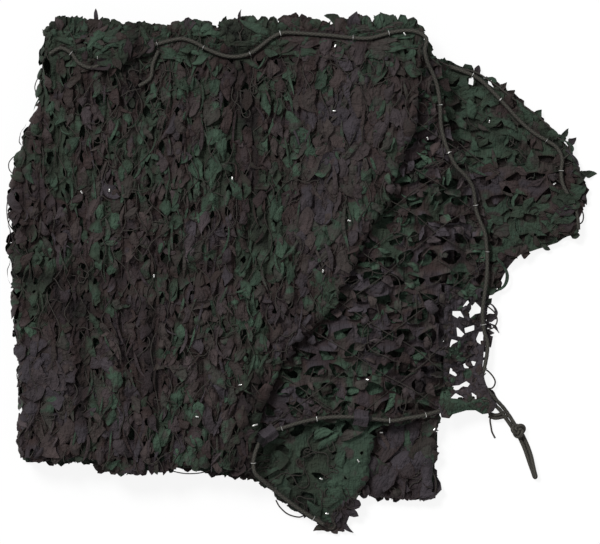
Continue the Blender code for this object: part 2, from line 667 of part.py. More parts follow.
# ---------------------------------------------------------------- build
def main():
    clear_scene()
    parts = new_collection("camouflage_net")
    helpers = new_collection("cutters")
    helpers.hide_render = True
    cloth_green = new_material("leaf_cloth", (0.030, 0.040, 0.032), 0.9)
    tab_brown = new_material("brown_cloth", (0.034, 0.029, 0.029), 0.9)
    rope_grey = new_material("edge_rope", (0.050, 0.048, 0.040), 0.8)
    clip_steel = new_material("clip_steel", (0.62, 0.62, 0.60), 0.35, 1.0)

    cloth = folded_cloth(parts, helpers, cloth_green)
    bpy.context.view_layer.update()
    ground = Ground(cloth)

    lines = {
        "back": lie_on(ground, BACK_ROUTE, ROPE_STEP),
        "wing": lie_on(ground, WING_ROUTE, ROPE_STEP),
        "front": lie_on(ground, FRONT_ROUTE, ROPE_STEP),
        "hanging": lie_on(ground, HANGING_ROUTE, ROPE_STEP),
    }
    knot = corner_knot(parts, helpers, rope_grey)
    bpy.context.view_layer.update()
    lines["back"] = butt(lines["back"], knot)
    lines["front"] = butt(lines["front"][::-1], knot)[::-1]
    for name, line in lines.items():
        tube(f"edge_rope_{name}", line, ROPE_D, parts, rope_grey)
    for edge, places in CLIPS.items():
        for number, at in enumerate(places, start=1):
            clip_on(f"clip_{edge}_{number:02d}", lines[edge], at, parts, clip_steel)
    doubled_tail(knot, parts, rope_grey)
    hem_tab("hem_tab_left", lines["front"], (0.066, -0.322), 0.012, 0.0020, parts, tab_brown)
    hem_tab("hem_tab_middle", lines["front"], (0.238, -0.290), 0.022, 0.0013, parts, tab_brown)


main()
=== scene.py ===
# %% [markdown]
# # A folded camouflage net
#
# The net is one sheet of leaf-cut cloth on a cord mesh, with a rope round its edge. It is folded
# back and forth into a pack, and one corner is pulled out to the right. The solids of the pack
# come from the construction file. Here the cloth gets its web, its cut leaves, its print and its
# cords. Every leaf is a small surface worked out with numpy in the plane of the flat cloth. One
# function then carries it to its place on the fold, so the same leaf works on every layer.

# %% Load the frame
import math
from collections import namedtuple

import bpy
import numpy as np
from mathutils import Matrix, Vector
from mathutils.bvhtree import BVHTree


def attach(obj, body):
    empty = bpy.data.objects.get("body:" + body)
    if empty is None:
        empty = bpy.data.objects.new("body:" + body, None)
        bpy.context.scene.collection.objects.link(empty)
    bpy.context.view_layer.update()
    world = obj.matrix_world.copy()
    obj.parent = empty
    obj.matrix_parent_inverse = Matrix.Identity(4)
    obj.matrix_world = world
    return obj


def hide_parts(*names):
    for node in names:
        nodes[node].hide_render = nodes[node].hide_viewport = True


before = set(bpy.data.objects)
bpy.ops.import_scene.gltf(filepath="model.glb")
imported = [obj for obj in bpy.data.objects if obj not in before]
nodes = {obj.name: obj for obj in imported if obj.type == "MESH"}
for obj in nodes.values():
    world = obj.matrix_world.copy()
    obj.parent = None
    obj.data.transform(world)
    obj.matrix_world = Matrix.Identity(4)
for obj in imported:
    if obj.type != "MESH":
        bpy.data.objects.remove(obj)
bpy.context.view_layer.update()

# %% [markdown]
# ## Camera, floor and light
#
# The photograph looks straight down, and one of its pixels is 1.8 mm. A long lens from far
# above keeps the tall pack and the floor at one scale. The floor is a plain white plane, and the
# light is a broad soft sun with an even white sky, which leaves the gaps between leaves dark.

# %% Camera and light
PIXEL = 0.0018
PHOTO_WIDE, PHOTO_HIGH = 600, 544
ORIGIN_PX, ORIGIN_PY = 228, 256
CAMERA_HEIGHT = 12.0
SENSOR = 36
SUN_STRENGTH, SUN_SPREAD, SUN_TILT = 3.1, 18, (-30, -29, 0)
SKY_STRENGTH, FLOOR_GLOW = 0.48, 0.88
scene = bpy.context.scene


def at_pixel(px, py):
    """The place on the floor of a pixel of the photograph, whose rows run from the back."""
    return (px - ORIGIN_PX) * PIXEL, (ORIGIN_PY - py) * PIXEL


def add_camera():
    """A camera over the photograph's middle, with a lens that takes in its width."""
    data = bpy.data.cameras.new("camera")
    data.sensor_width = SENSOR
    data.lens = SENSOR * CAMERA_HEIGHT / (PHOTO_WIDE * PIXEL)
    data.clip_end = 100
    camera = bpy.data.objects.new("camera", data)
    camera.location = (*at_pixel(PHOTO_WIDE / 2, PHOTO_HIGH / 2), CAMERA_HEIGHT)
    scene.collection.objects.link(camera)
    scene.camera = camera


def add_light():
    """One soft sun from the back left, and a white sky."""
    data = bpy.data.lights.new("soft_sun", "SUN")
    data.energy = SUN_STRENGTH
    data.angle = math.radians(SUN_SPREAD)
    sun = bpy.data.objects.new("soft_sun", data)
    sun.rotation_euler = [math.radians(tilt) for tilt in SUN_TILT]
    scene.collection.objects.link(sun)
    world = bpy.data.worlds.new("sky")
    world.use_nodes = True
    background = world.node_tree.nodes["Background"]
    background.inputs["Color"].default_value = (1, 1, 1, 1)
    background.inputs["Strength"].default_value = SKY_STRENGTH
    scene.world = world
    scene.view_settings.view_transform = "Standard"


add_camera()
add_light()
print("camera: lens", round(scene.camera.data.lens), "mm at", CAMERA_HEIGHT, "m")

# %% [markdown]
# ## Nodes in a few words
#
# A material is a small graph. These helpers add a node, set its sockets and wire it, so that
# each material below reads as a list of what the eye sees.


# %% Material helpers
def new_material(name, rough, sheen=0.0, metal=0.0):
    """A material with its even values on the shader's own sockets."""
    made = bpy.data.materials.new(name)
    made.use_nodes = True
    shader = made.node_tree.nodes["Principled BSDF"]
    shader.inputs["Roughness"].default_value = rough
    shader.inputs["Sheen Weight"].default_value = sheen
    shader.inputs["Sheen Roughness"].default_value = 0.5
    shader.inputs["Metallic"].default_value = metal
    shader.inputs["Specular IOR Level"].default_value = 0.25
    return made


def node(material, kind, wires=(), **values):
    """Adds a node; values set its sockets by name, and wires lead other nodes' sockets into it."""
    made = material.node_tree.nodes.new("ShaderNode" + kind)
    for key, value in values.items():
        if hasattr(made, key):
            setattr(made, key, value)
        else:
            made.inputs[key.replace("_", " ")].default_value = value
    for source, socket in wires:
        material.node_tree.links.new(source, made.inputs[socket])
    return made


def finish_material(material, colour, height, distance):
    """Wires a colour, and a height as bump, into the shader."""
    shader = material.node_tree.nodes["Principled BSDF"]
    bump = node(material, "Bump", [(height, "Height")], Strength=1.0, Distance=distance)
    material.node_tree.links.new(colour, shader.inputs["Base Color"])
    material.node_tree.links.new(bump.outputs["Normal"], shader.inputs["Normal"])


def ramp(material, source, stops):
    """A colour ramp: stops are (place, colour)."""
    made = node(material, "ValToRGB", [(source, "Fac")])
    while len(made.color_ramp.elements) < len(stops):
        made.color_ramp.elements.new(0.5)
    for element, (place, colour) in zip(made.color_ramp.elements, stops):
        element.position = place
        element.color = (*colour, 1)
    return made.outputs["Color"]


def blend(material, share, first, second):
    """Mixes two colours by a share, or multiplies them where no share is given."""
    made = node(material, "Mix", data_type="RGBA")
    if share is None:
        made.blend_type = "MULTIPLY"
        made.inputs[0].default_value = 1.0
    else:
        material.node_tree.links.new(share, made.inputs[0])
    material.node_tree.links.new(first, made.inputs[6])
    material.node_tree.links.new(second, made.inputs[7])
    return made.outputs[2]


def maths(material, operation, first, second):
    """A sum on a socket and a second number, or a second socket."""
    made = node(material, "Math", [(first, 0)], operation=operation)
    if isinstance(second, float):
        made.inputs[1].default_value = second
    else:
        material.node_tree.links.new(second, made.inputs[1])
    return made.outputs[0]


def by_vector(material, operation, first, second, result=0):
    """The same on a vector socket and three numbers."""
    made = node(material, "VectorMath", [(first, 0)], operation=operation)
    made.inputs[1].default_value = second
    return made.outputs[result]


def grain(material, place, scale, detail):
    """An even noise over a place."""
    return node(material, "TexNoise", [(place, "Vector")], Scale=scale, Detail=detail).outputs["Fac"]


def rise(material, value, start, end):
    """0 where the value is at its start, 1 at its end, and straight between them."""
    made = node(material, "MapRange", [(value, "Value")], From_Min=start, From_Max=end)
    return made.outputs["Result"]


# %% [markdown]
# ## The printed cloth
#
# The cloth is a thin, matt, coated polyester printed in soft green and purplish brown. The
# patches are larger than a leaf, so a leaf is mostly of one colour, and some have a border
# running over them. Each leaf carries a number, patch, from a slow noise over the flat cloth. The
# material adds a little finer noise to it and cuts it sharply, as a print is cut. Below the cut
# the same number runs from mauve to reddish and olive brown. Wear shows as faint lighter streaks,
# and the weave and small creases are bump.

# %% Cloth material
# The point attribute read in cloth_material multiplies the colour. It is painted shade in the hollows,
# creases, hinges and leaf edges, painted light on crests and flat places, and a random tone per leaf.
MAUVE_BROWN = (0.0306, 0.0252, 0.0306)
RED_BROWN = (0.0348, 0.0246, 0.0238)
OLIVE_BROWN = (0.0270, 0.0274, 0.0226)
GREEN = (0.0290, 0.0530, 0.0350)
GREEN_DEEP = (0.0200, 0.0370, 0.0245)
REDDER = (1.22, 0.90, 0.84)  # what little light reaches the hollows
PRINT_EDGE = (0.765, 0.835)  # of the patch number: brown below it, green above
STREAKS = (190.0, 45.0, 1.0)  # of wear to a metre of UV, each way


def cloth_material(name, shade):
    """Two printed colours times the leaf's painted shade and random tone, with weave and creases along
    UV's V.
    """
    made = new_material(name, 0.80, sheen=0.03)
    uv = node(made, "UVMap").outputs["UV"]
    patch = node(made, "Attribute", attribute_name="patch").outputs["Fac"]
    wear = node(made, "Attribute", attribute_name="wear").outputs["Color"]
    border = maths(made, "MULTIPLY", grain(made, uv, 38.0, 2.0), 0.6)
    printed = rise(made, maths(made, "ADD", patch, border), *PRINT_EDGE)
    stretched = node(made, "Mapping", [(uv, "Vector")], Scale=STREAKS).outputs["Vector"]
    streak = grain(made, stretched, 1.0, 3.0)
    tone = grain(made, uv, 15.0, 3.0)
    browns = [tuple(c * shade for c in colour) for colour in (MAUVE_BROWN, RED_BROWN, OLIVE_BROWN)]
    greens = [tuple(c * shade for c in colour) for colour in (GREEN_DEEP, GREEN)]
    uneven = ramp(made, tone, [(0.30, (0.80, 0.80, 0.80)), (0.72, (1.20, 1.20, 1.20))])
    brown = blend(made, None, ramp(made, patch, list(zip((0.16, 0.33, 0.50), browns))), uneven)
    green = ramp(made, tone, list(zip((0.35, 0.60), greens)))
    worn = ramp(made, streak, [(0.25, (0.84, 0.84, 0.84)), (0.75, (1.18, 1.18, 1.16))])
    colour = blend(made, None, blend(made, printed, brown, green), worn)
    colour = blend(made, None, colour, wear)
    # Painted shade: where the point attribute is low the colour turns redder, by REDDER.
    redder = by_vector(made, "MULTIPLY", colour, REDDER)
    colour = blend(made, rise(made, wear, 0.85, 0.40), colour, redder)
    weave = maths(made, "MULTIPLY", grain(made, uv, 900.0, 1.0), 0.08)
    height = maths(made, "ADD", weave, grain(made, uv, 120.0, 3.0))
    ridge = maths(made, "PINGPONG", grain(made, uv, 70.0, 2.0), 0.5)
    height = maths(made, "ADD", maths(made, "ADD", height, streak), ridge)
    finish_material(made, colour, height, 0.0055)
    return made


leaf_cloth = cloth_material("leaf_cloth", 1.0)
# A copy of the cloth at 0.6 of its colour: painted shade for the layers inside the pack.
shaded_cloth = cloth_material("leaf_cloth_shaded", 0.6)
print("cloth: print in", RED_BROWN, "and", GREEN)

# %% [markdown]
# ## The rope, the cords and the steel
#
# The edge rope is a 7 mm braid of greyish olive yarn. Its strands cross at a fixed angle, which
# two waves over its own UV map draw: U runs round the rope and V along it. The thin cords of the
# mesh are the same yarn, and the clips are bright wire.

# %% Rope and steel materials
STRANDS_ALONG = 130.0  # to a metre of rope


def braid_material(name, pale, deep, strands):
    """Two waves that run round and along the tube, one each way, make the crossing strands."""
    made = new_material(name, 0.85, sheen=0.02)
    uv = node(made, "UVMap").outputs["UV"]
    waves = []
    for turn in (1.0, -1.0):
        turned = (turn * strands / 2, STRANDS_ALONG, 0.0)
        around = by_vector(made, "DOT_PRODUCT", uv, turned, "Value")
        waves.append(maths(made, "PINGPONG", around, 0.5))
    crossed = maths(made, "MULTIPLY", *waves)
    flecked = maths(made, "ADD", crossed, grain(made, uv, 260.0, 2.0))
    # The crests of the strands are pale and the grooves between them dark: painted shade between the
    # strands.
    colour = ramp(made, flecked, [(0.42, deep), (0.80, pale)])
    # The point attribute read here is painted light: each tube is lighter on top and darker at its
    # sides and underneath.
    wear = node(made, "Attribute", attribute_name="wear").outputs["Color"]
    finish_material(made, blend(made, None, colour, wear), crossed, 0.0030)
    return made


def steel_material():
    """Zinc-plated wire: bright, with a faint uneven grain."""
    made = new_material("clip_steel", 0.30, metal=1.0)
    rough = grain(made, node(made, "TexCoord").outputs["Object"], 900.0, 2.0)
    colour = ramp(made, rough, [(0.3, (0.55, 0.55, 0.53)), (0.7, (0.85, 0.85, 0.83))])
    finish_material(made, colour, rough, 0.0002)
    return made


rope_braid = braid_material("rope_braid", (0.078, 0.074, 0.061), (0.013, 0.012, 0.010), 8)
cord_braid = braid_material("cord_braid", (0.050, 0.044, 0.037), (0.024, 0.021, 0.018), 6)
clip_steel = steel_material()

# %% [markdown]
# ## The fold
#
# The sheet lies in eight layers. A layer's height is its level times the pitch, times a loft
# that crowns in the middle and sinks along the creases. These are the construction file's own
# numbers, repeated here so that the leaves lie on the same surface.

# %% Outline tables and layers
CLOTH_THICK = 0.005
PITCH = 0.011
EDGE_LOFT = 0.78
PACK_HALF_X = 0.390
PACK_HALF_Y = 0.420
ROLL_FRONT, ROLL_DEEP = -0.385, 0.80  # where the rolled edge starts, and how far back it runs
CLEAR = 0.0004  # between pieces that touch, and over the floor
DROOP = 0.3  # how much cloth past a cut edge sinks, for each metre

PACK_LEFT = (
    (0.00, -0.366), (0.26, -0.380), (0.50, -0.387), (0.66, -0.383),
    (0.72, -0.362), (0.80, -0.338), (0.92, -0.330), (1.00, -0.322),
)
TOP_RIGHT = (
    (0.00, 0.040), (0.08, 0.042), (0.16, 0.060), (0.24, 0.094), (0.30, 0.128),
    (0.37, 0.186), (0.44, 0.208), (0.53, 0.246), (0.62, 0.285), (0.72, 0.312),
    (0.83, 0.333), (0.92, 0.340), (1.00, 0.346),
)
FLAP_RIGHT = (
    (0.00, 0.474), (0.05, 0.462), (0.17, 0.474), (0.27, 0.466), (0.37, 0.472),
    (0.45, 0.472), (0.57, 0.450), (0.65, 0.438), (0.72, 0.404), (0.81, 0.389),
    (0.91, 0.384), (1.00, 0.352),
)
TONGUE_RIGHT = (
    (0.00, 0.232), (0.05, 0.246), (0.12, 0.256), (0.20, 0.300), (0.30, 0.355),
    (0.50, 0.376), (0.80, 0.370), (1.00, 0.336),
)
CORNER_RIGHT = (
    (0.00, 0.370), (0.04, 0.366), (0.10, 0.377), (0.16, 0.381), (0.50, 0.382),
    (0.90, 0.356), (1.00, 0.338),
)
WING_RIGHT = ((0.00, 0.628), (0.35, 0.644), (0.70, 0.650), (1.00, 0.624))
TOP_FRONT = (
    (-0.40, -0.360), (-0.30, -0.371), (-0.24, -0.371), (-0.20, -0.385),
    (-0.12, -0.390), (-0.02, -0.382), (0.045, -0.385), (0.36, -0.385),
)
FLAP_FRONT = (
    (-0.40, -0.360), (0.00, -0.345), (0.055, -0.316), (0.11, -0.306), (0.17, -0.296),
    (0.22, -0.293), (0.30, -0.302), (0.36, -0.288), (0.41, -0.279), (0.48, -0.262),
)
TONGUE_FRONT = (
    (-0.40, -0.368), (-0.10, -0.384), (0.035, -0.384), (0.065, -0.410), (0.103, -0.445),
    (0.148, -0.477), (0.185, -0.500), (0.211, -0.492), (0.222, -0.462), (0.235, -0.428),
    (0.40, -0.428),
)
LOW_FRONT = (
    (-0.40, -0.368), (-0.10, -0.390), (0.05, -0.396), (0.15, -0.420), (0.235, -0.430),
    (0.372, -0.436), (0.392, -0.300), (0.402, -0.090), (0.477, -0.074), (0.499, -0.030),
    (0.526, -0.002), (0.571, 0.012), (0.620, 0.024), (0.65, 0.040),
)
PACK_BACK = ((-0.40, 0.406), (-0.20, 0.412), (0.00, 0.408), (0.20, 0.414), (0.36, 0.404))
WING_BACK = (
    (-0.40, 0.402), (0.33, 0.402), (0.37, 0.362), (0.439, 0.338), (0.499, 0.304),
    (0.574, 0.242), (0.622, 0.190), (0.65, 0.150),
)

# left_to and right_to name the layer that the cloth turns down to at that side.
Layer = namedtuple("Layer", "name level inset right front back left_to right_to")
LAYERS = {
    layer.name: layer
    for layer in (
        Layer("top", 7, 0.016, TOP_RIGHT, TOP_FRONT, PACK_BACK, "tongue", "under"),
        Layer("under", 6, 0.022, TOP_RIGHT, TOP_FRONT, PACK_BACK, "flap", None),
        Layer("flap", 5, 0.022, FLAP_RIGHT, FLAP_FRONT, PACK_BACK, None, None),
        Layer("tongue", 4, 0.016, TONGUE_RIGHT, TONGUE_FRONT, PACK_BACK, None, "below"),
        Layer("below", 3, 0.010, TONGUE_RIGHT, TONGUE_FRONT, PACK_BACK, "corner", None),
        Layer("corner", 2, 0.010, CORNER_RIGHT, LOW_FRONT, PACK_BACK, None, "low"),
        Layer("low", 1, 0.006, CORNER_RIGHT, LOW_FRONT, PACK_BACK, "wing", None),
        Layer("wing", 0, 0.006, WING_RIGHT, LOW_FRONT, WING_BACK, None, None),
    )
}

Crease = namedtuple("Crease", "x0 y0 x1 y1 width depth")
CREASES = (
    Crease(-0.370, -0.045, 0.020, -0.030, 0.020, 0.11),
    Crease(-0.262, 0.150, -0.258, -0.230, 0.014, 0.08),
    Crease(-0.175, -0.090, -0.170, -0.370, 0.012, 0.09),
    Crease(-0.020, 0.380, 0.045, 0.020, 0.014, 0.08),
    Crease(0.010, -0.200, 0.012, -0.380, 0.012, 0.08),
    Crease(-0.330, 0.345, 0.080, 0.365, 0.014, 0.05),
)

# Gathers painted only as shade: dark lines in the top's colour, with no dip in its height.
PAINTED_GATHER_SHADE = (
    Crease(-0.166, 0.410, -0.172, 0.270, 0.016, 0.14),
    Crease(0.008, 0.405, 0.038, 0.240, 0.022, 0.14),
    Crease(0.044, 0.250, 0.062, 0.020, 0.013, 0.11),
    Crease(-0.142, -0.090, -0.136, -0.270, 0.014, 0.14),
    Crease(-0.262, -0.090, -0.262, -0.290, 0.014, 0.13),
    Crease(-0.306, -0.060, -0.300, -0.130, 0.024, 0.08),
    Crease(0.052, -0.220, 0.020, -0.370, 0.018, 0.12),
    Crease(-0.385, -0.030, -0.190, -0.046, 0.012, 0.07),
    Crease(-0.330, -0.090, -0.200, -0.105, 0.022, 0.05),
    Crease(-0.370, 0.190, -0.380, 0.000, 0.050, 0.050),
    Crease(-0.330, 0.350, -0.190, 0.350, 0.040, 0.040),
    Crease(0.030, 0.395, 0.110, 0.360, 0.030, 0.050),
    Crease(0.160, 0.410, 0.150, 0.330, 0.012, 0.06),
)
# Where the net lies flat, with larger leaves, and is painted paler: a pixel, and its reach to the sides
# and along. In the first three places the leaves are also alike and lie close over each other, with
# less painted shade between them.
FLAT_PLACES = (
    (54, 390, 30, 60), (352, 110, 45, 60), (325, 215, 34, 70), (212, 120, 16, 60),
    (100, 212, 24, 36), (108, 395, 18, 45), (205, 390, 30, 60), (196, 250, 20, 40),
    (408, 455, 50, 70),
)
CALM_PLACES = FLAT_PLACES[:3]


# %% Heights of the layers
def along(table, at):
    """The table's second column, read in a straight line between its rows."""
    rows = np.array(table)
    return np.interp(at, rows[:, 0], rows[:, 1])


def ease(low, high, value):
    """0 below low, 1 above high, and a smooth S between them."""
    share = np.clip((value - low) / (high - low), 0, 1)
    return share * share * (3 - 2 * share)


def crease_at(crease, x, y):
    """1 along a crease's line, falling off as a bell over its width."""
    run_x, run_y = crease.x1 - crease.x0, crease.y1 - crease.y0
    share = ((x - crease.x0) * run_x + (y - crease.y0) * run_y) / (run_x**2 + run_y**2)
    share = np.clip(share, 0, 1)
    away = np.hypot(x - crease.x0 - share * run_x, y - crease.y0 - share * run_y)
    return np.exp(-((away / crease.width) ** 2))


def bell(x, y, px, py, reach_x, reach_y):
    """1 at a pixel, falling off as a bell over its reaches to the sides and along."""
    at_x, at_y = at_pixel(px, py)
    return np.exp(-(((x - at_x) / reach_x / PIXEL) ** 2) - ((y - at_y) / reach_y / PIXEL) ** 2)


def flatness(x, y, places=FLAT_PLACES):
    """1 in the middle of one of the places, 0 far from all of them."""
    return np.clip(sum(bell(x, y, *place) for place in places), 0, 1)


def rolled_edge(y):
    """Where the top's rolled edge runs, from front to back."""
    return along(TOP_RIGHT, (y - ROLL_FRONT) / ROLL_DEEP)


def loft(x, y):
    """How thick the pack is: crowned, rippled by the gathers, and pressed in at the creases."""
    from_middle = (1 - np.abs(np.clip(x / PACK_HALF_X, -1, 1)) ** 3) * (
        1 - np.abs(np.clip(y / PACK_HALF_Y, -1, 1)) ** 3
    )
    thick = EDGE_LOFT + (1.04 - EDGE_LOFT) * from_middle
    gathers = 0.030 * np.sin(2 * np.pi * x / 0.083 + 2.2 * np.sin(5 * y) + 1.0)
    swell = 0.025 * np.sin(2 * np.pi * y / 0.31 + 7 * x)
    thick = thick + (gathers + swell) * (0.3 + 0.7 * from_middle)
    for crease in CREASES:
        thick = thick - crease.depth * crease_at(crease, x, y)
    return np.maximum(thick, 0.66)


def wing_lift(x, y):
    """How far the wing's folds stand up off the floor, outside the pack."""
    ridges = np.sin(2 * np.pi * (0.80 * x + 0.60 * y) / 0.105 + 1.1)
    return ease(0.405, 0.450, x) * (0.0035 + 0.0075 * np.clip(ridges, 0, 1))


def layer_height(name, x, y):
    """The middle of a layer's thickness above the floor: level times pitch times loft."""
    half, level = CLOTH_THICK / 2, LAYERS[name].level
    step = PITCH * loft(x, y)
    if name == "wing":
        return half + wing_lift(x, y)
    if name == "flap":
        share = np.clip((y + 0.43) / 0.84, 0, 1)
        sag = 5 - 1.9 * ease(0.010, 0.065, x - along(TONGUE_RIGHT, share))
        open_share = ease(0.03, 0.08, x - rolled_edge(y))
        waves = 0.0035 * open_share * (1 + np.sin(2 * np.pi * (x - 0.55 * y) / 0.092))
        hung = half + sag * step * (1 - ease(0.386, 0.470, x)) + waves
        over_wing = ease(-0.10, -0.06, y) * (wing_lift(x, y) + CLOTH_THICK + 0.0022)
        return np.maximum(hung, half + over_wing)
    if name in ("tongue", "below"):
        return half + level * step * ease(-0.507, -0.400, y)
    return half + level * step


# %% [markdown]
# ## From the flat cloth to the fold
#
# A leaf is drawn in the plane of its layer, as x, y and a lift off the cloth. Past the layer's
# side edge the cloth turns down round a half circle to the layer below, so a leaf there turns
# with it. Past the front and back edges, which are cut, leaves stick out and droop.


# %% Carry points to the fold
# The loose leaves stand out past the solid's edge: at the left by metres at a share of the way
# from front to back, and at the front by pixels at a pixel across.
LEFT_MORE = (
    (0.00, 0.004), (0.04, 0.008), (0.08, 0.007), (0.11, 0.000), (0.36, 0.000), (0.43, 0.004),
    (0.47, 0.006), (0.53, 0.001), (0.58, 0.005), (0.66, 0.007), (0.73, 0.011), (0.78, 0.010),
    (0.82, 0.006), (0.88, 0.006), (0.93, 0.002), (1.00, 0.006),
)
FRONT_MORE = (
    (66, 0), (81, -4), (96, -2), (101, 0), (105, 5), (137, 4), (148, 0), (165, -1), (179, -4),
    (200, -2), (221, 1), (235, 2), (249, 5), (263, 4), (277, 0), (366, 0), (375, 3), (424, 4),
    (436, 1), (446, 0), (544, 0), (558, -4), (590, -7),
)


def front_more(x):
    """How far the front edge stands out past the table at x, in metres."""
    return along(FRONT_MORE, x / PIXEL + ORIGIN_PX) * PIXEL


def side_edges(layer, across):
    """Where the layer's cloth turns down at the left and right: the tables, uneven by 5 mm."""
    uneven = 0.009 * (noise(across, 0 * across + 0.71 * layer.level, 0.033, 13) - 0.60)
    right = along(layer.right, across) + uneven
    if layer.name in ("corner", "low"):
        right = right - 0.010 * ease(0.13, 0.09, across) * ease(-0.01, 0.02, across)
    return along(PACK_LEFT, across) + layer.inset - uneven - along(LEFT_MORE, across), right


def cut_edges(layer, x):
    """The cut edges at the front and back: the tables, nibbled by up to 7 mm."""
    nibble = 0.007 * noise(x, 0 * x + 0.37 * layer.level, 0.016, 14)
    return along(layer.front, x) + nibble - front_more(x), along(layer.back, x) - nibble


def between(y, front, back):
    """y held between the front and back edge, and its share of the way from one to the other."""
    y_in = np.clip(y, front, back)
    return y_in, (y_in - front) / np.maximum(back - front, 0.05)


def on_fold(name, x, y, lift):
    """Points of a layer: its middle surface plus lift along the normal.

    Beyond a side edge by e, the point goes round a half circle of radius r at the angle e / r.
    Beyond a cut edge it keeps the edge's height less a droop.
    """
    layer = LAYERS[name]
    y_in, across = between(y, along(layer.front, x), along(layer.back, x))
    left, right = side_edges(layer, across)
    x_in = np.clip(x, left, right)
    height = layer_height(name, x_in, y_in)
    droop = DROOP * np.abs(y - y_in)
    points = np.stack([x, y, np.maximum(height + lift - droop, CLEAR)], axis=-1)
    for beyond, sign, edge, to in (
        (left - x, -1, left, layer.left_to),
        (x - right, 1, right, layer.right_to),
    ):
        past = beyond > 0
        if to is None:
            low = np.maximum(points[..., 2] - DROOP * beyond, CLEAR)
            points[..., 2] = np.where(past, low, points[..., 2])
            continue
        radius = np.maximum((height - layer_height(to, x_in, y_in)) / 2, 0.002)
        angle = np.clip(beyond / radius, 0, np.pi)
        out = edge + sign * (radius + lift) * np.sin(angle)
        up = height - radius + (radius + lift) * np.cos(angle) - droop
        points[..., 0] = np.where(past, out, points[..., 0])
        points[..., 2] = np.where(past, np.maximum(up, CLEAR), points[..., 2])
    return points


# %% [markdown]
# ## Even noise
#
# The print, the jitter of the cells and the swell of the cloth all come from one smooth noise,
# worked out on whole arrays, so each run gives the same net.


# %% Noise
def scatter(i, j, seed):
    """A number from 0 to 1 for each pair of whole numbers: what is left of a large sine."""
    value = np.sin(i * 127.1 + j * 311.7 + seed * 74.7) * 43758.5453
    return value - np.floor(value)


def noise(x, y, size, seed):
    """Numbers on a lattice of this size, blended between its points by an S curve, from 0 to 1."""
    gx, gy = x / size, y / size
    i, j = np.floor(gx), np.floor(gy)
    sx, sy = ease(0, 1, gx - i), ease(0, 1, gy - j)
    low = scatter(i, j, seed) * (1 - sx) + scatter(i + 1, j, seed) * sx
    high = scatter(i, j + 1, seed) * (1 - sx) + scatter(i + 1, j + 1, seed) * sx
    return low * (1 - sy) + high * sy


def warp(x, y):
    """Shifts the even lattice of cells by up to 6 mm, slowly over the cloth."""
    return (
        x + 0.012 * (noise(x, y, 0.070, 1) - 0.5),
        y + 0.014 * (noise(x, y, 0.080, 2) - 0.5),
    )


# Painted light and shade on the flap: pixel, reach in pixels, and how much paler.
FLAP_LIGHT_AND_SHADE = (
    (358, 305, 45, 0.16), (404, 368, 40, -0.34), (415, 150, 30, 0.10), (430, 260, 30, 0.08),
)


def hollow_shade(name, x, y, lift):
    """Painted shade in the hollows: 0.4 deep down, 1.1 on the crests, less in a crease."""
    shade = 0.40 + 0.70 * ease(-0.003, 0.007, lift)
    # On the flap: crests painted lighter, a painted shadow beside the rolled edge, painted light where
    # it lies over the wing, and its places of painted light and shade.
    if name == "flap":
        shade = shade * (1 + 0.09 * ease(0.001, 0.006, lift))
        reach = 0.022 + 0.018 * ease(-0.06, -0.12, y) + 0.016 * ease(0.20, 0.26, y)
        shade = shade * (0.50 + 0.50 * ease(-0.002, reach, x - rolled_edge(y)))
        over_wing = ease(0.375, 0.410, x) * ease(0.475, 0.455, x) * ease(-0.05, 0.0, y)
        shade = shade * (1 + 0.65 * over_wing)
        for px, py, reach, gain in FLAP_LIGHT_AND_SHADE:
            shade = shade * (1 + gain * bell(x, y, px, py, reach, reach))
    # The wing is darker, and more so to the right.
    if name == "wing":
        shade = shade * (0.79 - 0.13 * ease(0.50, 0.58, x))
    # Tongue and corner: painted light towards the flap's front edge, and the tongue darker at its left.
    if name in ("tongue", "corner"):
        shade = shade * (0.90 + 0.17 * ease(-0.37, -0.315, y))
    if name == "tongue":
        shade = shade * (0.88 + 0.10 * ease(0.150, 0.190, x))
    # On the top: the calm places painted evenly lit, creases and gathers painted dark, the flat places
    # painted paler, and a little darker to the right.
    if name == "top":
        crease_shade = sum(crease.depth * crease_at(crease, x, y) for crease in PAINTED_GATHER_SHADE)
        crease_shade = crease_shade + sum(0.4 * crease.depth * crease_at(crease, x, y) for crease in CREASES)
        shade = shade + (0.90 - shade) * 0.55 * flatness(x, y, CALM_PLACES)
        shade = shade * (1 - 0.66 * np.clip(crease_shade / 0.12, 0, 1))
        shade = shade * (0.92 + 0.22 * flatness(x, y) - 0.04 * ease(0.05, 0.15, x))
    return shade


# %% [markdown]
# ## Meshes from arrays
#
# A net has hundreds of like cells, so each piece is one mesh: all its cells' points in one
# array, with the faces numbered to suit. The patch number of each point goes with it.


# %% Mesh helpers
def quads(count, rows, columns, closed=False):
    """Corner numbers of the faces of count grids, each of rows by columns points."""
    number = np.arange(count * rows * columns).reshape(count, rows, columns)
    step = np.roll(number, -1, axis=2) if closed else number[:, :, 1:]
    here = number if closed else number[:, :, :-1]
    corners = [here[:, :-1], step[:, :-1], step[:, 1:], here[:, 1:]]
    return np.stack(corners, axis=-1).reshape(-1, 4)


def unit(vectors):
    """The vectors at a length of 1."""
    return vectors / np.maximum(np.linalg.norm(vectors, axis=-1, keepdims=True), 1e-9)


Patchwork = namedtuple("Patchwork", "points faces uv patch wear")


def patchwork(points, faces, u, v, patch, wear):
    """A patchwork from grids of points; the other numbers are grids too, or one for all points."""
    full = [np.broadcast_to(value, points.shape[:-1]).ravel() for value in (u, v, patch, wear)]
    return Patchwork(points.reshape(-1, 3), faces, np.stack(full[:2], axis=-1), *full[2:])


def joined(parts):
    """Several patchworks as one, with the faces renumbered."""
    starts = np.cumsum([0, *(len(part.points) for part in parts[:-1])])
    return Patchwork(
        np.vstack([part.points for part in parts]),
        np.vstack([part.faces + start for part, start in zip(parts, starts)]),
        np.vstack([part.uv for part in parts]),
        np.concatenate([part.patch for part in parts]),
        np.concatenate([part.wear for part in parts]),
    )


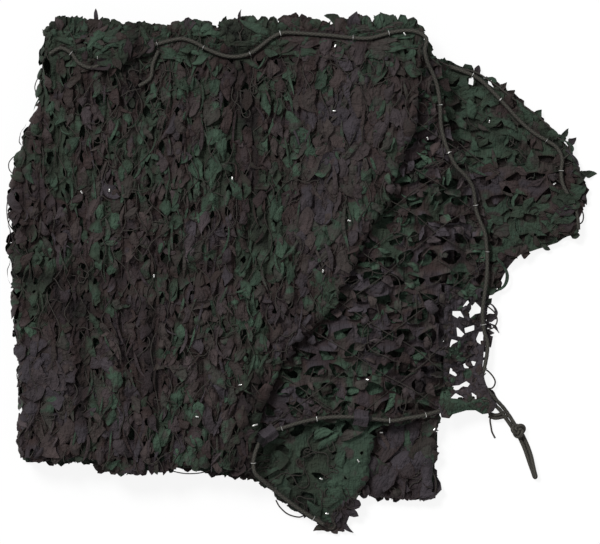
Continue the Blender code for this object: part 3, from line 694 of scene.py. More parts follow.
def add_piece(name, work, material):
    """Puts a patchwork into a mesh object that rides on the net."""
    used, faces = np.unique(work.faces, return_inverse=True)
    faces = faces.reshape(-1, 4)
    mesh = bpy.data.meshes.new(name)
    mesh.vertices.add(len(used))
    mesh.vertices.foreach_set("co", work.points[used].astype(np.float32).ravel())
    mesh.loops.add(faces.size)
    mesh.loops.foreach_set("vertex_index", faces.astype(np.int32).ravel())
    mesh.polygons.add(len(faces))
    mesh.polygons.foreach_set("loop_start", np.arange(0, faces.size, 4, dtype=np.int32))
    mesh.polygons.foreach_set("use_smooth", np.full(len(faces), True))
    layer = mesh.uv_layers.new(name="UVMap")
    layer.data.foreach_set("uv", work.uv[used][faces.ravel()].astype(np.float32).ravel())
    for kind, values in (("patch", work.patch), ("wear", work.wear)):
        attribute = mesh.attributes.new(kind, "FLOAT", "POINT")
        attribute.data.foreach_set("value", values[used].astype(np.float32))
    mesh.update(calc_edges=True)
    mesh.materials.append(material)
    made = bpy.data.objects.new(name, mesh)
    scene.collection.objects.link(made)
    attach(made, "root")
    print(f"{name}: {len(faces)} faces")
    return made


def add_cloth(name, parts):
    """A piece of the printed cloth, joined from its parts."""
    return add_piece(name, joined(parts), leaf_cloth)


def mesh_area(made):
    """The sum of the areas of a piece's faces."""
    areas = np.empty(len(made.data.polygons), np.float32)
    made.data.polygons.foreach_get("area", areas)
    return float(areas.sum())


# %% [markdown]
# ## Where the ropes run
#
# The ropes lie on the cloth, and no leaf stands up through them. So the routes come before the
# leaves: a coarse map of the distance to the nearest rope tells each leaf how high it may stand.

# %% Rope routes
BACK_ROUTE = (
    (-0.318, 0.362), (-0.303, 0.371), (-0.288, 0.370), (-0.275, 0.357), (-0.262, 0.342),
    (-0.240, 0.337), (-0.215, 0.350), (-0.190, 0.368), (-0.160, 0.372), (-0.122, 0.380),
    (-0.090, 0.388), (-0.068, 0.386), (-0.045, 0.374), (-0.018, 0.362), (0.010, 0.356),
    (0.040, 0.362), (0.066, 0.380), (0.090, 0.397), (0.118, 0.399), (0.150, 0.397),
    (0.190, 0.394), (0.225, 0.390), (0.258, 0.390), (0.285, 0.398), (0.312, 0.403),
    (0.338, 0.401), (0.353, 0.394), (0.357, 0.380), (0.352, 0.362), (0.360, 0.342),
    (0.372, 0.316), (0.378, 0.290), (0.381, 0.262), (0.382, 0.235), (0.388, 0.208),
    (0.397, 0.184), (0.410, 0.160), (0.428, 0.142), (0.441, 0.120), (0.444, 0.098),
    (0.448, 0.074), (0.461, 0.044), (0.465, 0.014), (0.466, -0.020), (0.463, -0.056),
    (0.458, -0.092), (0.459, -0.128), (0.467, -0.158), (0.463, -0.192), (0.457, -0.222),
    (0.470, -0.246), (0.488, -0.264), (0.504, -0.284), (0.5160, -0.3040), (0.5195, -0.3095),
)
FRONT_ROUTE = (
    (0.5135, -0.3120), (0.5085, -0.3062), (0.4958, -0.2855), (0.4795, -0.2680),
    (0.456, -0.259), (0.430, -0.265), (0.400, -0.272), (0.372, -0.280), (0.345, -0.287),
    (0.318, -0.291), (0.295, -0.295), (0.255, -0.291), (0.215, -0.288), (0.170, -0.290),
    (0.130, -0.298), (0.095, -0.309), (0.070, -0.318), (0.056, -0.336), (0.047, -0.362),
    (0.048, -0.386), (0.066, -0.404), (0.090, -0.425), (0.118, -0.447), (0.146, -0.466),
    (0.172, -0.482),
)
WING_ROUTE = (
    (0.398, 0.341), (0.420, 0.333), (0.442, 0.324), (0.460, 0.311), (0.480, 0.291),
    (0.500, 0.270), (0.522, 0.246), (0.545, 0.225), (0.567, 0.211), (0.588, 0.198),
    (0.600, 0.182), (0.600, 0.162), (0.599, 0.140), (0.608, 0.116), (0.620, 0.096),
    (0.628, 0.070), (0.630, 0.048),
)
HANGING_ROUTE = (
    (-0.124, 0.366), (-0.133, 0.350), (-0.134, 0.330), (-0.142, 0.312), (-0.158, 0.304),
)
ROPE_D = 0.007
ROPE_STEP = 0.022


def smooth_route(route, step):
    """Points a step apart on a smooth curve through the route's own (Catmull-Rom)."""
    route = np.asarray(route, float)
    ends = np.vstack([2 * route[0] - route[1], route, 2 * route[-1] - route[-2]])
    a, b, c, d = (ends[i : len(ends) - 3 + i, None] for i in range(4))
    t = np.linspace(0, 1, 12, endpoint=False)[None, :, None]
    curve = 2 * b + (c - a) * t + (2 * a - 5 * b + 4 * c - d) * t**2
    curve = curve + (3 * b - a - 3 * c + d) * t**3
    fine = np.vstack([curve.reshape(-1, route.shape[1]) / 2, route[-1:]])
    run = np.concatenate([[0], np.cumsum(np.linalg.norm(np.diff(fine, axis=0), axis=1))])
    at = np.linspace(0, run[-1], max(3, round(run[-1] / step) + 1))
    return np.stack([np.interp(at, run, column) for column in fine.T], axis=-1)


def in_box(points, box):
    """Which points lie in a box, given by the pixels of its back left and front right corner."""
    left, back, right, front = box
    (x0, y1), (x1, y0) = at_pixel(left, back), at_pixel(right, front)
    x, y = points[:, 0], points[:, 1]
    return (x >= x0) & (x <= x1) & (y >= y0) & (y <= y1)


ROUTES = {
    "edge_rope_back": BACK_ROUTE,
    "edge_rope_front": FRONT_ROUTE,
    "edge_rope_wing": WING_ROUTE,
    "edge_rope_hanging": HANGING_ROUTE,
}
MAP_STEP = 0.004
map_x = np.arange(-0.46, 0.72, MAP_STEP)
map_y = np.arange(-0.56, 0.48, MAP_STEP)
rope_plan = np.vstack([smooth_route(route, 0.004) for route in ROUTES.values()])
# Two stretches of rope run under leaves.
HIDDEN = ((98, 38, 150, 75), (565, 196, 592, 240))
for box in HIDDEN:
    rope_plan = rope_plan[~in_box(rope_plan, box)]
gap_x = map_x[:, None, None] - rope_plan[:, 0]
gap_y = map_y[None, :, None] - rope_plan[:, 1]
rope_gap = np.sqrt((gap_x**2 + gap_y**2).min(axis=-1))


def most_lift(x, y):
    """How high cloth may stand: 3 mm up to 5 mm from a rope's middle, 10.5 mm from 16 mm on."""
    i = np.clip(((x - map_x[0]) / MAP_STEP).round().astype(int), 0, len(map_x) - 1)
    j = np.clip(((y - map_y[0]) / MAP_STEP).round().astype(int), 0, len(map_y) - 1)
    return 0.0030 + 0.0075 * ease(0.005, 0.016, rope_gap[i, j])


print("rope routes:", {name: len(route) for name, route in ROUTES.items()})

# %% [markdown]
# ## The web: cells with a cut in each
#
# Leaf-cut cloth is slit all over in a brick pattern. Pulled open, each slit is a hole with one
# straight and one round side, and the cloth between the holes is a web. Each cell of the web is
# a ring of faces between its hole's rim and the brick's outline. Cells share their outlines, so
# the web has no seams, and its rims are lifted unevenly.

# %% A field of cells
Field = namedtuple(
    "Field",
    "layer pitch_x pitch_y by_column hole_x hole_y swing rim_lift groove green seed base shift bow",
    defaults=(0.0, 0.0, (0.7, 1.0)),
)
MOST_HOLE = 0.46  # how far a hole may reach from its cell's middle, in cells
UNDER_ROPE = 0.0015  # between the web and the height that is free for it


def cell_centres(field):
    """The brick lattice: every second row, or column, is shifted by half a cell."""
    i = np.arange(math.floor(-0.44 / field.pitch_x), math.ceil(0.68 / field.pitch_x))
    j = np.arange(math.floor(-0.54 / field.pitch_y), math.ceil(0.44 / field.pitch_y))
    i, j = (grid.ravel() for grid in np.meshgrid(i, j, indexing="ij"))
    shift_x = 0 if field.by_column else 0.5 * (j % 2)
    shift_y = 0.5 * (i % 2) if field.by_column else 0
    x = (i + shift_x + field.shift) * field.pitch_x
    return np.stack([x, (j + shift_y) * field.pitch_y], axis=-1)


# The print's larger patches: a pixel, its reach to the sides and along, and how much greener.
PRINT_PLACES = (
    (238, 220, 46, 200, 0.11), (82, 36, 40, 20, 0.30), (218, 45, 22, 18, 0.22),
    (212, 135, 13, 48, 0.38), (145, 125, 13, 45, 0.14), (256, 235, 11, 36, 0.32),
    (258, 325, 12, 28, 0.32), (335, 155, 11, 12, 0.42), (328, 82, 11, 14, 0.40),
    (70, 170, 10, 26, 0.20), (122, 192, 22, 8, 0.14), (105, 254, 12, 10, 0.26),
    (42, 312, 22, 20, 0.22), (290, 278, 12, 22, 0.26), (386, 250, 16, 14, 0.38),
    (335, 335, 10, 10, 0.30), (375, 378, 12, 18, 0.26), (430, 330, 10, 10, 0.45),
    (468, 110, 28, 32, 0.32), (495, 146, 25, 14, 0.24), (442, 190, 16, 12, 0.32),
    (478, 250, 18, 12, 0.52), (420, 162, 12, 8, 0.25), (96, 408, 8, 22, 0.14),
    (194, 392, 20, 18, 0.24), (404, 428, 11, 9, 0.55), (330, 232, 13, 20, 0.22),
    (330, 490, 22, 18, 0.25), (116, 300, 14, 40, -0.30), (370, 282, 26, 16, -0.36),
    (245, 160, 13, 26, -0.26), (345, 60, 13, 20, -0.26), (420, 82, 14, 14, -0.30),
    (412, 352, 20, 18, -0.36), (302, 340, 20, 16, -0.30), (282, 405, 18, 16, -0.26),
    (46, 400, 34, 60, -0.24), (490, 180, 18, 8, -0.34), (20, 210, 14, 30, -0.22),
    (343, 519, 9, 11, -0.55), (396, 302, 14, 14, -0.32), (312, 376, 14, 12, -0.26),
)


def patch_at(x, y, green):
    """The print: three slow noises, the larger patches, and more green to the back.

    A band down the rolled edge is browner.
    """
    green = green - 0.24 * ease(0.05, 0.12, x) * ease(0.27, 0.22, x) * ease(0.04, 0.14, y)
    green = green + sum(gain * bell(x, y, *place) for *place, gain in PRINT_PLACES)
    slow = 0.14 * noise(x, y, 0.085, 11) + 0.40 * noise(x, y, 0.042, 12)
    slow = slow + 0.46 * noise(x, y, 0.022, 15)
    return 0.5 + 1.40 * (slow - 0.5) + green + 0.28 * y - 0.10 * x


def swell(x, y, seed):
    """The unevenness of the web itself: a few millimetres up and down."""
    slow, fast = noise(x, y, 0.045, seed), noise(x, y, 0.017, seed + 1)
    return 0.0060 * (slow - 0.4) + 0.0045 * (fast - 0.5)


def web(field, inside, segments, rings, growth=None):
    """Cells round their holes: a blend from the hole's rim to the brick's outline, ring by ring.

    The rim is a lens with two points: x = hx cos a, y = hy |sin a|^1.6. Its upper side is bow
    times as high as its lower one, so a small bow makes a crescent. Cells by column have an
    ellipse. Three waves round it make it uneven, and growth scales the holes by place.
    """
    random = np.random.default_rng(field.seed)
    centres = cell_centres(field)
    centres = centres[inside(*warp(*centres.T), 0.03)]
    count = len(centres)
    side = np.linspace(-1, 1, segments, endpoint=False)
    ones = np.ones(segments)
    edge_x = np.concatenate([side, ones, -side, -ones])
    edge_y = np.concatenate([-ones, side, ones, -side])
    angle = np.arctan2(edge_y, edge_x)
    phase = random.uniform(0, 2 * np.pi, (5, count, 1))
    uneven = 1 + 0.14 * np.sin(2 * angle + phase[0]) + 0.10 * np.sin(3 * angle + phase[1])
    uneven = uneven + 0.09 * np.sin(5 * angle + phase[4])
    size = random.uniform(0.72, 1.14, (2, count, 1))
    if growth is not None:
        size = size * growth(*centres.T)[:, None]
    rim_x = field.hole_x * size[0] * np.cos(angle) * uneven
    rim_y = field.hole_y * size[1] * np.sin(angle) * uneven
    if not field.by_column:
        bow = np.where(np.sin(angle) > 0, random.uniform(*field.bow, (count, 1)), 1.0)
        rim_y = rim_y * np.abs(np.sin(angle)) ** 0.6 * bow
    turn = random.normal(0, field.swing, (count, 1))
    rim_x, rim_y = (
        rim_x * np.cos(turn) - rim_y * np.sin(turn),
        rim_x * np.sin(turn) + rim_y * np.cos(turn),
    )
    rim_x = np.clip(rim_x, -MOST_HOLE * field.pitch_x, MOST_HOLE * field.pitch_x)
    rim_y = np.clip(rim_y, -MOST_HOLE * field.pitch_y, MOST_HOLE * field.pitch_y)
    share = np.linspace(0, 1, rings + 1)[None, :, None]
    x = rim_x[:, None] * (1 - share) + edge_x * field.pitch_x / 2 * share
    y = rim_y[:, None] * (1 - share) + edge_y * field.pitch_y / 2 * share
    x, y = warp(x + centres[:, 0, None, None], y + centres[:, 1, None, None])
    once, twice = (np.cos(k * angle - phase[k + 1][..., None]) for k in (1, 2))
    curl = 0.5 + 0.5 * once + 0.4 * twice
    lip = np.clip(curl, 0, None) ** 1.5 * (1 - share) ** 2.5
    lift = field.base + field.rim_lift * lip + swell(x, y, field.seed + 3)
    lift = lift - field.groove * share**3 * np.abs(edge_x) ** 3
    lift = np.minimum(lift, most_lift(x, y) - UNDER_ROPE)
    keep = inside(x, y, 0.0).ravel()
    points = on_fold(field.layer, *keep_in(LAYERS[field.layer], x, y), lift)
    faces = quads(count, rings + 1, 4 * segments, closed=True)[:, ::-1]
    faces = faces[keep[faces].any(axis=1)]
    # Painted shade: the hollows' shade, and darker near each hole's rim, where the cloth turns down.
    wear = hollow_shade(field.layer, x, y, lift - min(field.base, 0) * 0.5)
    wear = wear * (0.66 + 0.34 * ease(0, 0.40, share))
    return patchwork(points, faces, x, y, patch_at(x, y, field.green), wear)


def keep_in(layer, x, y):
    """Points brought back to the cut edges of their layer."""
    y_in, across = between(y, *cut_edges(layer, x))
    left, right = side_edges(layer, across)
    x_in = x if layer.left_to else np.maximum(x, left)
    x_in = x_in if layer.right_to else np.minimum(x_in, right)
    return x_in, y_in


# %% [markdown]
# ## The leaves
#
# The piece cut out of each hole hangs on by one side and curls. A leaf is a grid over its
# length and width. Its middle line is walked from the hinge: at each step it heads a little
# further round and pitches up or down. The width swells and closes to a tip, the edges curl, and
# the whole leaf twists. With other numbers the same walk gives a leaf that lies folded back, one
# that covers its hole, and one that sticks out of the pack's side.

# %% A set of leaves
LeafSet = namedtuple(
    "LeafSet", "x y heading length width pitch bend curl crease twist lift tip green wear"
)


def leaves(layer, leaf, seed, rows=10, columns=6, over_rope=False):
    """Grids of points for leaves given by arrays: one entry for each leaf.

    The pitch along the leaf is pitch times (1 - v) squared plus bend times v, plus a buckle. The
    middle line is the running sum of its steps. A point lies u times the width to its side,
    turned by the twist. It lifts by curl times u squared, crease times |u| and a fine crumple.
    """
    random = np.random.default_rng(seed)
    count = len(leaf.x)
    v = np.linspace(0, 1, rows)[None, :]
    u = np.linspace(-1, 1, columns)[None, None, :]
    column = [np.broadcast_to(value, (count,))[:, None] for value in leaf[2:]]
    heading, length, width, pitch, bend, curl, crease, twist, lift, tip, green, wear = column
    phase = random.uniform(0, 2 * np.pi, (5, count, 1))
    head = heading + random.normal(0, 0.70, (count, 1)) * (v - 0.2)
    buckle = 0.30 * np.sin(2 * np.pi * v * random.uniform(0.7, 1.7, (count, 1)) + phase[0])
    pitch = pitch * (1 - v) ** 2 + bend * v + buckle
    step = length / (rows - 1)
    run = np.stack(
        [np.cos(pitch) * np.cos(head), np.cos(pitch) * np.sin(head), np.sin(pitch)], axis=-1
    )
    middle = np.cumsum(run * step[..., None], axis=1)
    middle = np.concatenate([np.zeros((count, 1, 3)), middle[:, :-1]], axis=1)
    swell_out = np.sin(np.pi * v ** random.uniform(0.55, 1.25, (count, 1))) ** tip
    half = width * np.maximum(np.maximum(swell_out, 0.30 * (1 - v)), 0.04)
    half = half * (1 + 0.15 * np.sin(6 * v + phase[1]) + 0.08 * np.sin(17 * v + phase[3]))
    reach = half[..., None] * u * (1 + 0.28 * u * np.sin(5 * v + phase[2])[..., None])
    up = np.stack(
        [-np.sin(pitch) * np.cos(head), -np.sin(pitch) * np.sin(head), np.cos(pitch)], axis=-1
    )
    aside = np.stack([-np.sin(head), np.cos(head), np.zeros_like(head)], axis=-1)
    turn = (twist * (v - 0.3))[..., None]
    over = aside * np.cos(turn) + up * np.sin(turn)
    raised = up * np.cos(turn) - aside * np.sin(turn)
    number, far = np.arange(count)[:, None, None], (length * v)[..., None]
    crumple = noise(reach + 0.31 * number, far, 0.0085, seed) - 0.5
    arch = curl[..., None] * (u**2 - 0.35) + crease[..., None] * (np.abs(u) - 0.5)
    arch = half[..., None] * arch
    shape = middle[:, :, None] + over[:, :, None] * reach[..., None]
    shape = shape + raised[:, :, None] * (arch + 0.0034 * crumple)[..., None]
    x = leaf.x[:, None, None] + shape[..., 0]
    y = leaf.y[:, None, None] + shape[..., 1]
    height = lift[..., None] + shape[..., 2]
    if not over_rope:
        height = np.minimum(height, most_lift(x, y))
    points = on_fold(layer, x, y, np.maximum(height, -0.003))
    calm = 1 - 0.65 * flatness(leaf.x, leaf.y, CALM_PLACES)[:, None, None]
    own = 0.5 + random.uniform(-0.5, 0.5, (count, 1, 1)) * calm
    print_here = patch_at(leaf.x, leaf.y, 0)[:, None, None]
    patch = green[..., None] + 0.62 * print_here + 0.38 * own
    # Painted shade: darker towards the hinge, which lies under other leaves, and at the leaf's edges,
    # times the hollows' painted shade. Each leaf also gets a random tone, less of both in the calm
    # places.
    worn = wear * (1 + random.uniform(-0.26, 0.26, (count, 1)) * calm[..., 0]) * (0.72 + 0.34 * v)
    worn = worn[..., None] * hollow_shade(layer, x, y, height) * (1.06 - 0.40 * u**6 * calm)
    faces = quads(count, rows, columns)[:, ::-1]
    return patchwork(points, faces, number + reach, far, patch, worn)


def chosen(leaf, kept):
    """The leaves of a set for which kept is true."""
    return LeafSet(*(value[kept] if np.ndim(value) else value for value in leaf))


def kept_within(leaf, inside):
    """Turns round the leaves whose tips would leave the cloth, and drops those that still do."""
    def tip_inside(heading):
        x = leaf.x + leaf.length * np.cos(heading)
        return inside(x, leaf.y + leaf.length * np.sin(heading), 0.006)

    heading = np.where(tip_inside(leaf.heading), leaf.heading, leaf.heading + np.pi)
    kept = inside(leaf.x, leaf.y, -0.003) & tip_inside(heading)
    return chosen(leaf._replace(heading=heading), kept)


def spread(random, count, low, high):
    """Even random numbers between two bounds."""
    return random.uniform(low, high, count)


def shaped(random, n, pitch, bend, curl, crease, twist, lift, tip):
    """The numbers that shape n leaves.

    Curl, crease and twist are a mean and a bell's width, and the others two bounds.
    """
    return {
        "pitch": spread(random, n, *pitch),
        "bend": spread(random, n, *bend),
        "curl": random.normal(*curl, n),
        "crease": random.normal(*crease, n),
        "twist": random.normal(*twist, n),
        "lift": spread(random, n, *lift),
        "tip": spread(random, n, *tip),
    }


# %% [markdown]
# ## The top of the pack
#
# On the pack the net is gathered sideways: its holes close to upright slits, and its leaves lie
# over each other in columns like feathers. So the cells are narrow and staggered by column. Each
# has one long leaf over the slit and a shorter one under it.

# %% Top of the pack
TOP = Field("top", 0.0290, 0.0400, True, 0.0062, 0.0150, 0.10, 0.0045, 0.0040, -0.10, 21)


def across_layer(name, x, y, slack, more=0.0):
    """A point's share of the way across a layer, and whether it is on it, with some slack."""
    layer = LAYERS[name]
    front, back = along(layer.front, x), along(layer.back, x)
    across = (y - front) / np.maximum(back - front, 0.05)
    return across, (y > front - more - slack) & (y < back + slack)


def on_top(x, y, margin):
    """Inside the pack's top, with its turns down at the left and at the rolled edge."""
    across, inside = across_layer("top", x, y, 0.004 + margin, front_more(x))
    left = along(PACK_LEFT, across) + LAYERS["top"].inset
    return inside & (x > left - 0.045 - margin) & (x < along(TOP_RIGHT, across) + 0.012 + margin)


# Share of the cells, shift to the side in cells, length, width and lift from and to, sway of the
# heading, and points across.
COLUMN_SETS = (
    (1.0, 0.00, (0.030, 0.050), (0.0075, 0.0125), (0.0025, 0.0045), 0.22, 6),
    (0.8, 0.05, (0.020, 0.040), (0.0050, 0.0095), (0.0025, 0.0060), 0.45, 6),
    (0.9, 0.50, (0.022, 0.038), (0.0045, 0.0085), (-0.0030, 0.0005), 0.40, 6),
    (0.4, 0.30, (0.018, 0.034), (0.0030, 0.0070), (0.0020, 0.0060), 1.00, 5),
    (0.9, 0.45, (0.034, 0.060), (0.0014, 0.0032), (0.0015, 0.0065), 0.30, 3),
)


def column_leaves(field, inside, seed, size=1.0, sets=COLUMN_SETS):
    """For each cell five leaves: three broad ones over each other, a small one, and a strip.

    Where the net lies flat they are half as large again, and pitch up only a third as much. In
    the calm places they are broader still.
    """
    random = np.random.default_rng(seed)
    x, y = warp(*cell_centres(field).T)
    kept = inside(x, y, 0)
    x, y = x[kept], y[kept]
    work = []
    for i, (share, shift, long, wide, lift, sway, columns) in enumerate(sets):
        some = random.uniform(size=len(x)) < share
        n = int(some.sum())
        flat, calm = flatness(x[some], y[some]), flatness(x[some], y[some], CALM_PLACES)
        way = np.where(spread(random, n, 0, 1) < 0.70, -1, 1)
        length = size * spread(random, n, *long) * (0.92 + 0.34 * flat)
        leaf = LeafSet(
            x=x[some] + shift * field.pitch_x + random.normal(0, 0.0035, n),
            y=y[some] - way * 0.5 * length + random.normal(0, 0.009, n),
            heading=way * np.pi / 2 + random.normal(0, sway, n),
            length=length,
            width=size * spread(random, n, *wide) * (0.88 + 0.50 * flat + 0.30 * calm),
            **shaped(
                random, n, pitch=(0.0, 0.55), bend=(-0.45, 0.05), curl=(-0.12, 0.30),
                crease=(0.0, 0.30), twist=(0, 0.60), lift=lift, tip=(0.35, 1.05),
            ),
            green=field.green - 0.01,
            wear=1.0,
        )
        leaf = leaf._replace(
            pitch=leaf.pitch * (1 - 0.70 * flat), bend=leaf.bend * (1 - 0.60 * flat),
            twist=leaf.twist * (1 - 0.75 * flat), lift=leaf.lift + field.base,
        )
        work.append(leaves(field.layer, kept_within(leaf, inside), seed + 10 + i, 10, columns))
    return work


def back_band():
    """Long leaves that lie along the back edge, where the cloth turns over the cord."""
    random = np.random.default_rng(37)
    n = 150
    x = spread(random, n, -0.33, 0.34)
    leaf = LeafSet(
        x=x,
        y=along(PACK_BACK, x) - spread(random, n, 0.004, 0.062),
        heading=np.where(spread(random, n, 0, 1) < 0.5, 0, np.pi) + random.normal(0, 0.45, n),
        length=spread(random, n, 0.030, 0.064),
        width=spread(random, n, 0.0040, 0.0095),
        **shaped(
            random, n, pitch=(0.05, 0.40), bend=(-0.30, 0.10), curl=(-0.15, 0.40),
            crease=(0.0, 0.30), twist=(0, 0.70), lift=(0.0020, 0.0055), tip=(0.5, 1.0),
        ),
        green=0.0,
        wear=1.0,
    )
    return leaves("top", kept_within(leaf, on_top), 47)


def closed_slits(x, y):
    """The size of the top's holes: a quarter in the calm places."""
    return 1 - 0.75 * flatness(x, y, CALM_PLACES)


top_web = add_cloth("net_top_web", [web(TOP, on_top, 4, 3, closed_slits)])
broad, middle, *small = column_leaves(TOP, on_top, 31)
top_leaf = add_cloth("net_top_leaves", [broad, middle])
top_small = add_cloth("net_top_small_leaves", [*small, back_band()])

# %% [markdown]
# ## The flap
#
# Right of the rolled edge one corner of the net lies open. Its holes are wide, with a round
# lower side, and show the layer below. Half of the leaves are folded back up over the web, and
# the others hang part of the way over their holes.

# %% Flap
FLAP = Field(
    "flap", 0.0400, 0.0340, False, 0.0195, 0.0175, 0.38, 0.010, 0.0, -0.17, 22, bow=(-0.10, 0.80)
)
# The strip between the pack and the hanging corner is nearly all holes. Its outline and its
# holes are in pixels.
STRIP_EDGE = (
    (443, 340), (444, 284), (470, 290), (481, 288), (489, 296), (488, 305), (486, 320), (487, 331),
    (484, 345), (483, 358), (482, 368), (484, 378), (487, 388), (491, 398), (497, 404), (493, 411),
    (489, 413), (482, 414), (475, 410), (466, 410), (459, 412), (452, 414), (449, 418), (441, 417),
    (438, 405), (443, 380),
)
STRIP_HOLES = (
    ((481, 291), (480, 294), (482, 298), (485, 290)),
    ((469, 298), (470, 301), (466, 306), (462, 307), (465, 303)),
    ((475, 302), (481, 308), (480, 313), (475, 314), (470, 318), (467, 315), (471, 309), (471, 304)),
    ((452, 311), (460, 311), (464, 318), (459, 316), (457, 318), (452, 315)),
    ((456, 327), (458, 328), (464, 334), (461, 337), (457, 336)),
    ((464, 328), (474, 325), (474, 330), (465, 333)),
    ((451, 339), (458, 341), (452, 344), (449, 348), (450, 342)),
    ((479, 332), (486, 331), (483, 346), (477, 342), (476, 339)),
    ((471, 361), (476, 361), (474, 366), (472, 365)),
    ((465, 363), (469, 368), (464, 368), (463, 364)),
    ((450, 367), (457, 375), (455, 376), (449, 373)),
    ((450, 386), (459, 385), (466, 381), (470, 384), (470, 387), (467, 387), (462, 389), (455, 390)),
    ((449, 399), (455, 393), (460, 394), (466, 400), (462, 399), (454, 398)),
    ((471, 392), (477, 396), (478, 398), (476, 400), (472, 397)),
    ((480, 398), (489, 400), (489, 402), (483, 402)),
    ((468, 405), (471, 405), (471, 407), (469, 407)),
)


def depth_in(outline, x, y):
    """The distance to a closed outline's nearest side, positive inside and negative outside.

    A point is inside when an odd number of sides lies to its right.
    """
    a = np.stack(at_pixel(*np.array(outline, float).T), axis=-1)
    b = np.roll(a, -1, axis=0)
    run = b - a
    gap_x, gap_y = x[..., None] - a[:, 0], y[..., None] - a[:, 1]
    share = np.clip((gap_x * run[:, 0] + gap_y * run[:, 1]) / (run**2).sum(-1), 0, 1)
    away = np.hypot(gap_x - share * run[:, 0], gap_y - share * run[:, 1]).min(-1)
    level = (a[:, 1] > y[..., None]) != (b[:, 1] > y[..., None])
    right = gap_x < gap_y * run[:, 0] / np.where(run[:, 1] == 0, 1e-9, run[:, 1])
    return np.where((level & right).sum(-1) % 2 == 1, away, -away)


def on_flap(x, y, margin):
    """The part of the flap that the rolled edge leaves bare, and a little under it."""
    across, inside = across_layer("flap", x, y, 0.004 + margin)
    inside = inside & (x > rolled_edge(y) - 0.03 - margin)
    inside = inside & (x < along(FLAP_RIGHT, across) + 0.004 + margin)
    return inside & (depth_in(STRIP_EDGE, x, y) < 0.004)


# Share of the cells, shift to the side and towards the back in cells, way, sway of the heading,
# length and width from and to, pitch (none where the caller gives it), and lift from and to.
OPEN_SETS = (
    (0.75, 0.00, 0.34, -1, 0.60, (0.017, 0.028), (0.0070, 0.0125), None, (-0.004, 0.0)),
    (0.60, 0.00, 0.20, 1, 0.80, (0.018, 0.034), (0.0060, 0.0115), 0.7, (0.001, 0.003)),
    (0.70, 0.50, 0.10, -1, 1.20, (0.016, 0.032), (0.0040, 0.0090), 0.7, (0.0, 0.004)),
    (0.60, 0.25, 0.50, 1, 1.80, (0.018, 0.034), (0.0025, 0.0060), 0.7, (0.0, 0.005)),
)


def open_leaves(field, inside, seed, size=1.0, under=-0.5, thin=None, busy=1.0):
    """Leaves for open cells: one hangs in the hole, one is folded back, and small ones between.

    under is the pitch at which the first sort leaves its rim: below zero it dips into the hole.
    busy scales the share of cells that have each sort.
    """
    random = np.random.default_rng(seed)
    x, y = warp(*cell_centres(field).T)
    wanted = 1 if thin is None else thin(x, y)
    kept = inside(x, y, 0.01) & (spread(random, len(x), 0, 1) < wanted)
    x, y = x[kept], y[kept]
    sets = []
    for share, shift, forward, way, sway, long, wide, pitch, lift in OPEN_SETS:
        pitch = under if pitch is None else pitch
        some = random.uniform(size=len(x)) < share * busy
        n = int(some.sum())
        leaf = LeafSet(
            x=x[some] + shift * field.pitch_x + random.normal(0, 0.004, n),
            y=y[some] + forward * field.pitch_y + random.normal(0, 0.003, n),
            heading=way * np.pi / 2 + random.normal(0, sway, n),
            length=size * spread(random, n, *long),
            width=size * spread(random, n, *wide),
            **shaped(
                random, n, pitch=(0.4, 1.2), bend=(0.2, 1.3), curl=(0, 0.50),
                crease=(0, 0.40), twist=(0, 0.80), lift=lift, tip=(0.45, 1.20),
            ),
            green=field.green + 0.02,
            wear=1.0,
        )
        leaf = leaf._replace(
            pitch=pitch * leaf.pitch, bend=-0.5 * pitch * leaf.bend, lift=field.base + leaf.lift
        )
        sets.append(kept_within(leaf, inside))
    return [leaves(field.layer, leaf, seed + 1 + i) for i, leaf in enumerate(sets)]


flap_web = add_cloth("net_flap_web", [web(FLAP, on_flap, 8, 5)])
flap_leaf = add_cloth("net_flap_leaves", open_leaves(FLAP, on_flap, 51, busy=0.66))

# %% [markdown]
# ## The wing, the tongue and the front corner
#
# Three lower layers show too: the wing on the floor at the right, the green tongue at the
# front, and the brown corner beside it. Under the flap's holes the tongue's layer goes on.

# %% Lower layers that show
WING = Field(
    "wing", 0.0420, 0.0350, False, 0.0195, 0.0165, 0.50, 0.011, 0.0, -0.04, 23, 0.0045,
    bow=(-0.1, 0.6),
)
WING_UNDER = Field(
    "wing", 0.0420, 0.0350, False, 0.0006, 0.0004, 0.45, 0.0, 0.0, -0.16, 26, -0.0012, 0.5
)
TONGUE = Field(
    "tongue", 0.0480, 0.0440, False, 0.0195, 0.0165, 0.60, 0.008, 0.0, 0.32, 24, 0.0015,
    bow=(0.0, 0.8),
)
CORNER = Field(
    "corner", 0.0330, 0.0480, True, 0.0018, 0.0120, 0.12, 0.002, 0.002, -0.24, 25, 0.0005
)

# Slots right through the wing where the floor shows, in pixels.
WING_HOLES = (
    ((458, 79), (463, 78), (462, 81), (459, 82)),
    ((465, 78), (474, 77), (472, 90), (470, 90), (468, 83)),
    ((487, 82), (490, 80), (498, 85), (492, 89)),
    ((554, 137), (558, 137), (563, 141), (561, 143), (557, 141)),
)


def on_wing(x, y, margin):
    """The wing outside the pack, and a little under it, but not its slots."""
    _, inside = across_layer("wing", x, y, 0.003 + margin, front_more(x))
    right = along(WING_RIGHT, (y + 0.10) / 0.45) - 0.014 * ease(0.105, 0.080, y)
    inside = inside & (x < right + 0.002 + 0.5 * margin)
    ragged = np.interp(y, (-0.436, -0.300, -0.090), (0.372, 0.390, 0.402))
    ragged = ragged - 0.026 * noise(y, 0 * y, 0.017, 17)
    inside = inside & (x > 0.355 - margin) & ((y > -0.085) | (x < ragged))
    return inside & ((margin >= 0) | (slot_depth(x, y) < -0.0015))


def slot_depth(x, y):
    """How deep a point lies in the wing's nearest slot, below zero outside them."""
    return np.max([depth_in(hole, x, y) for hole in WING_HOLES], axis=0)


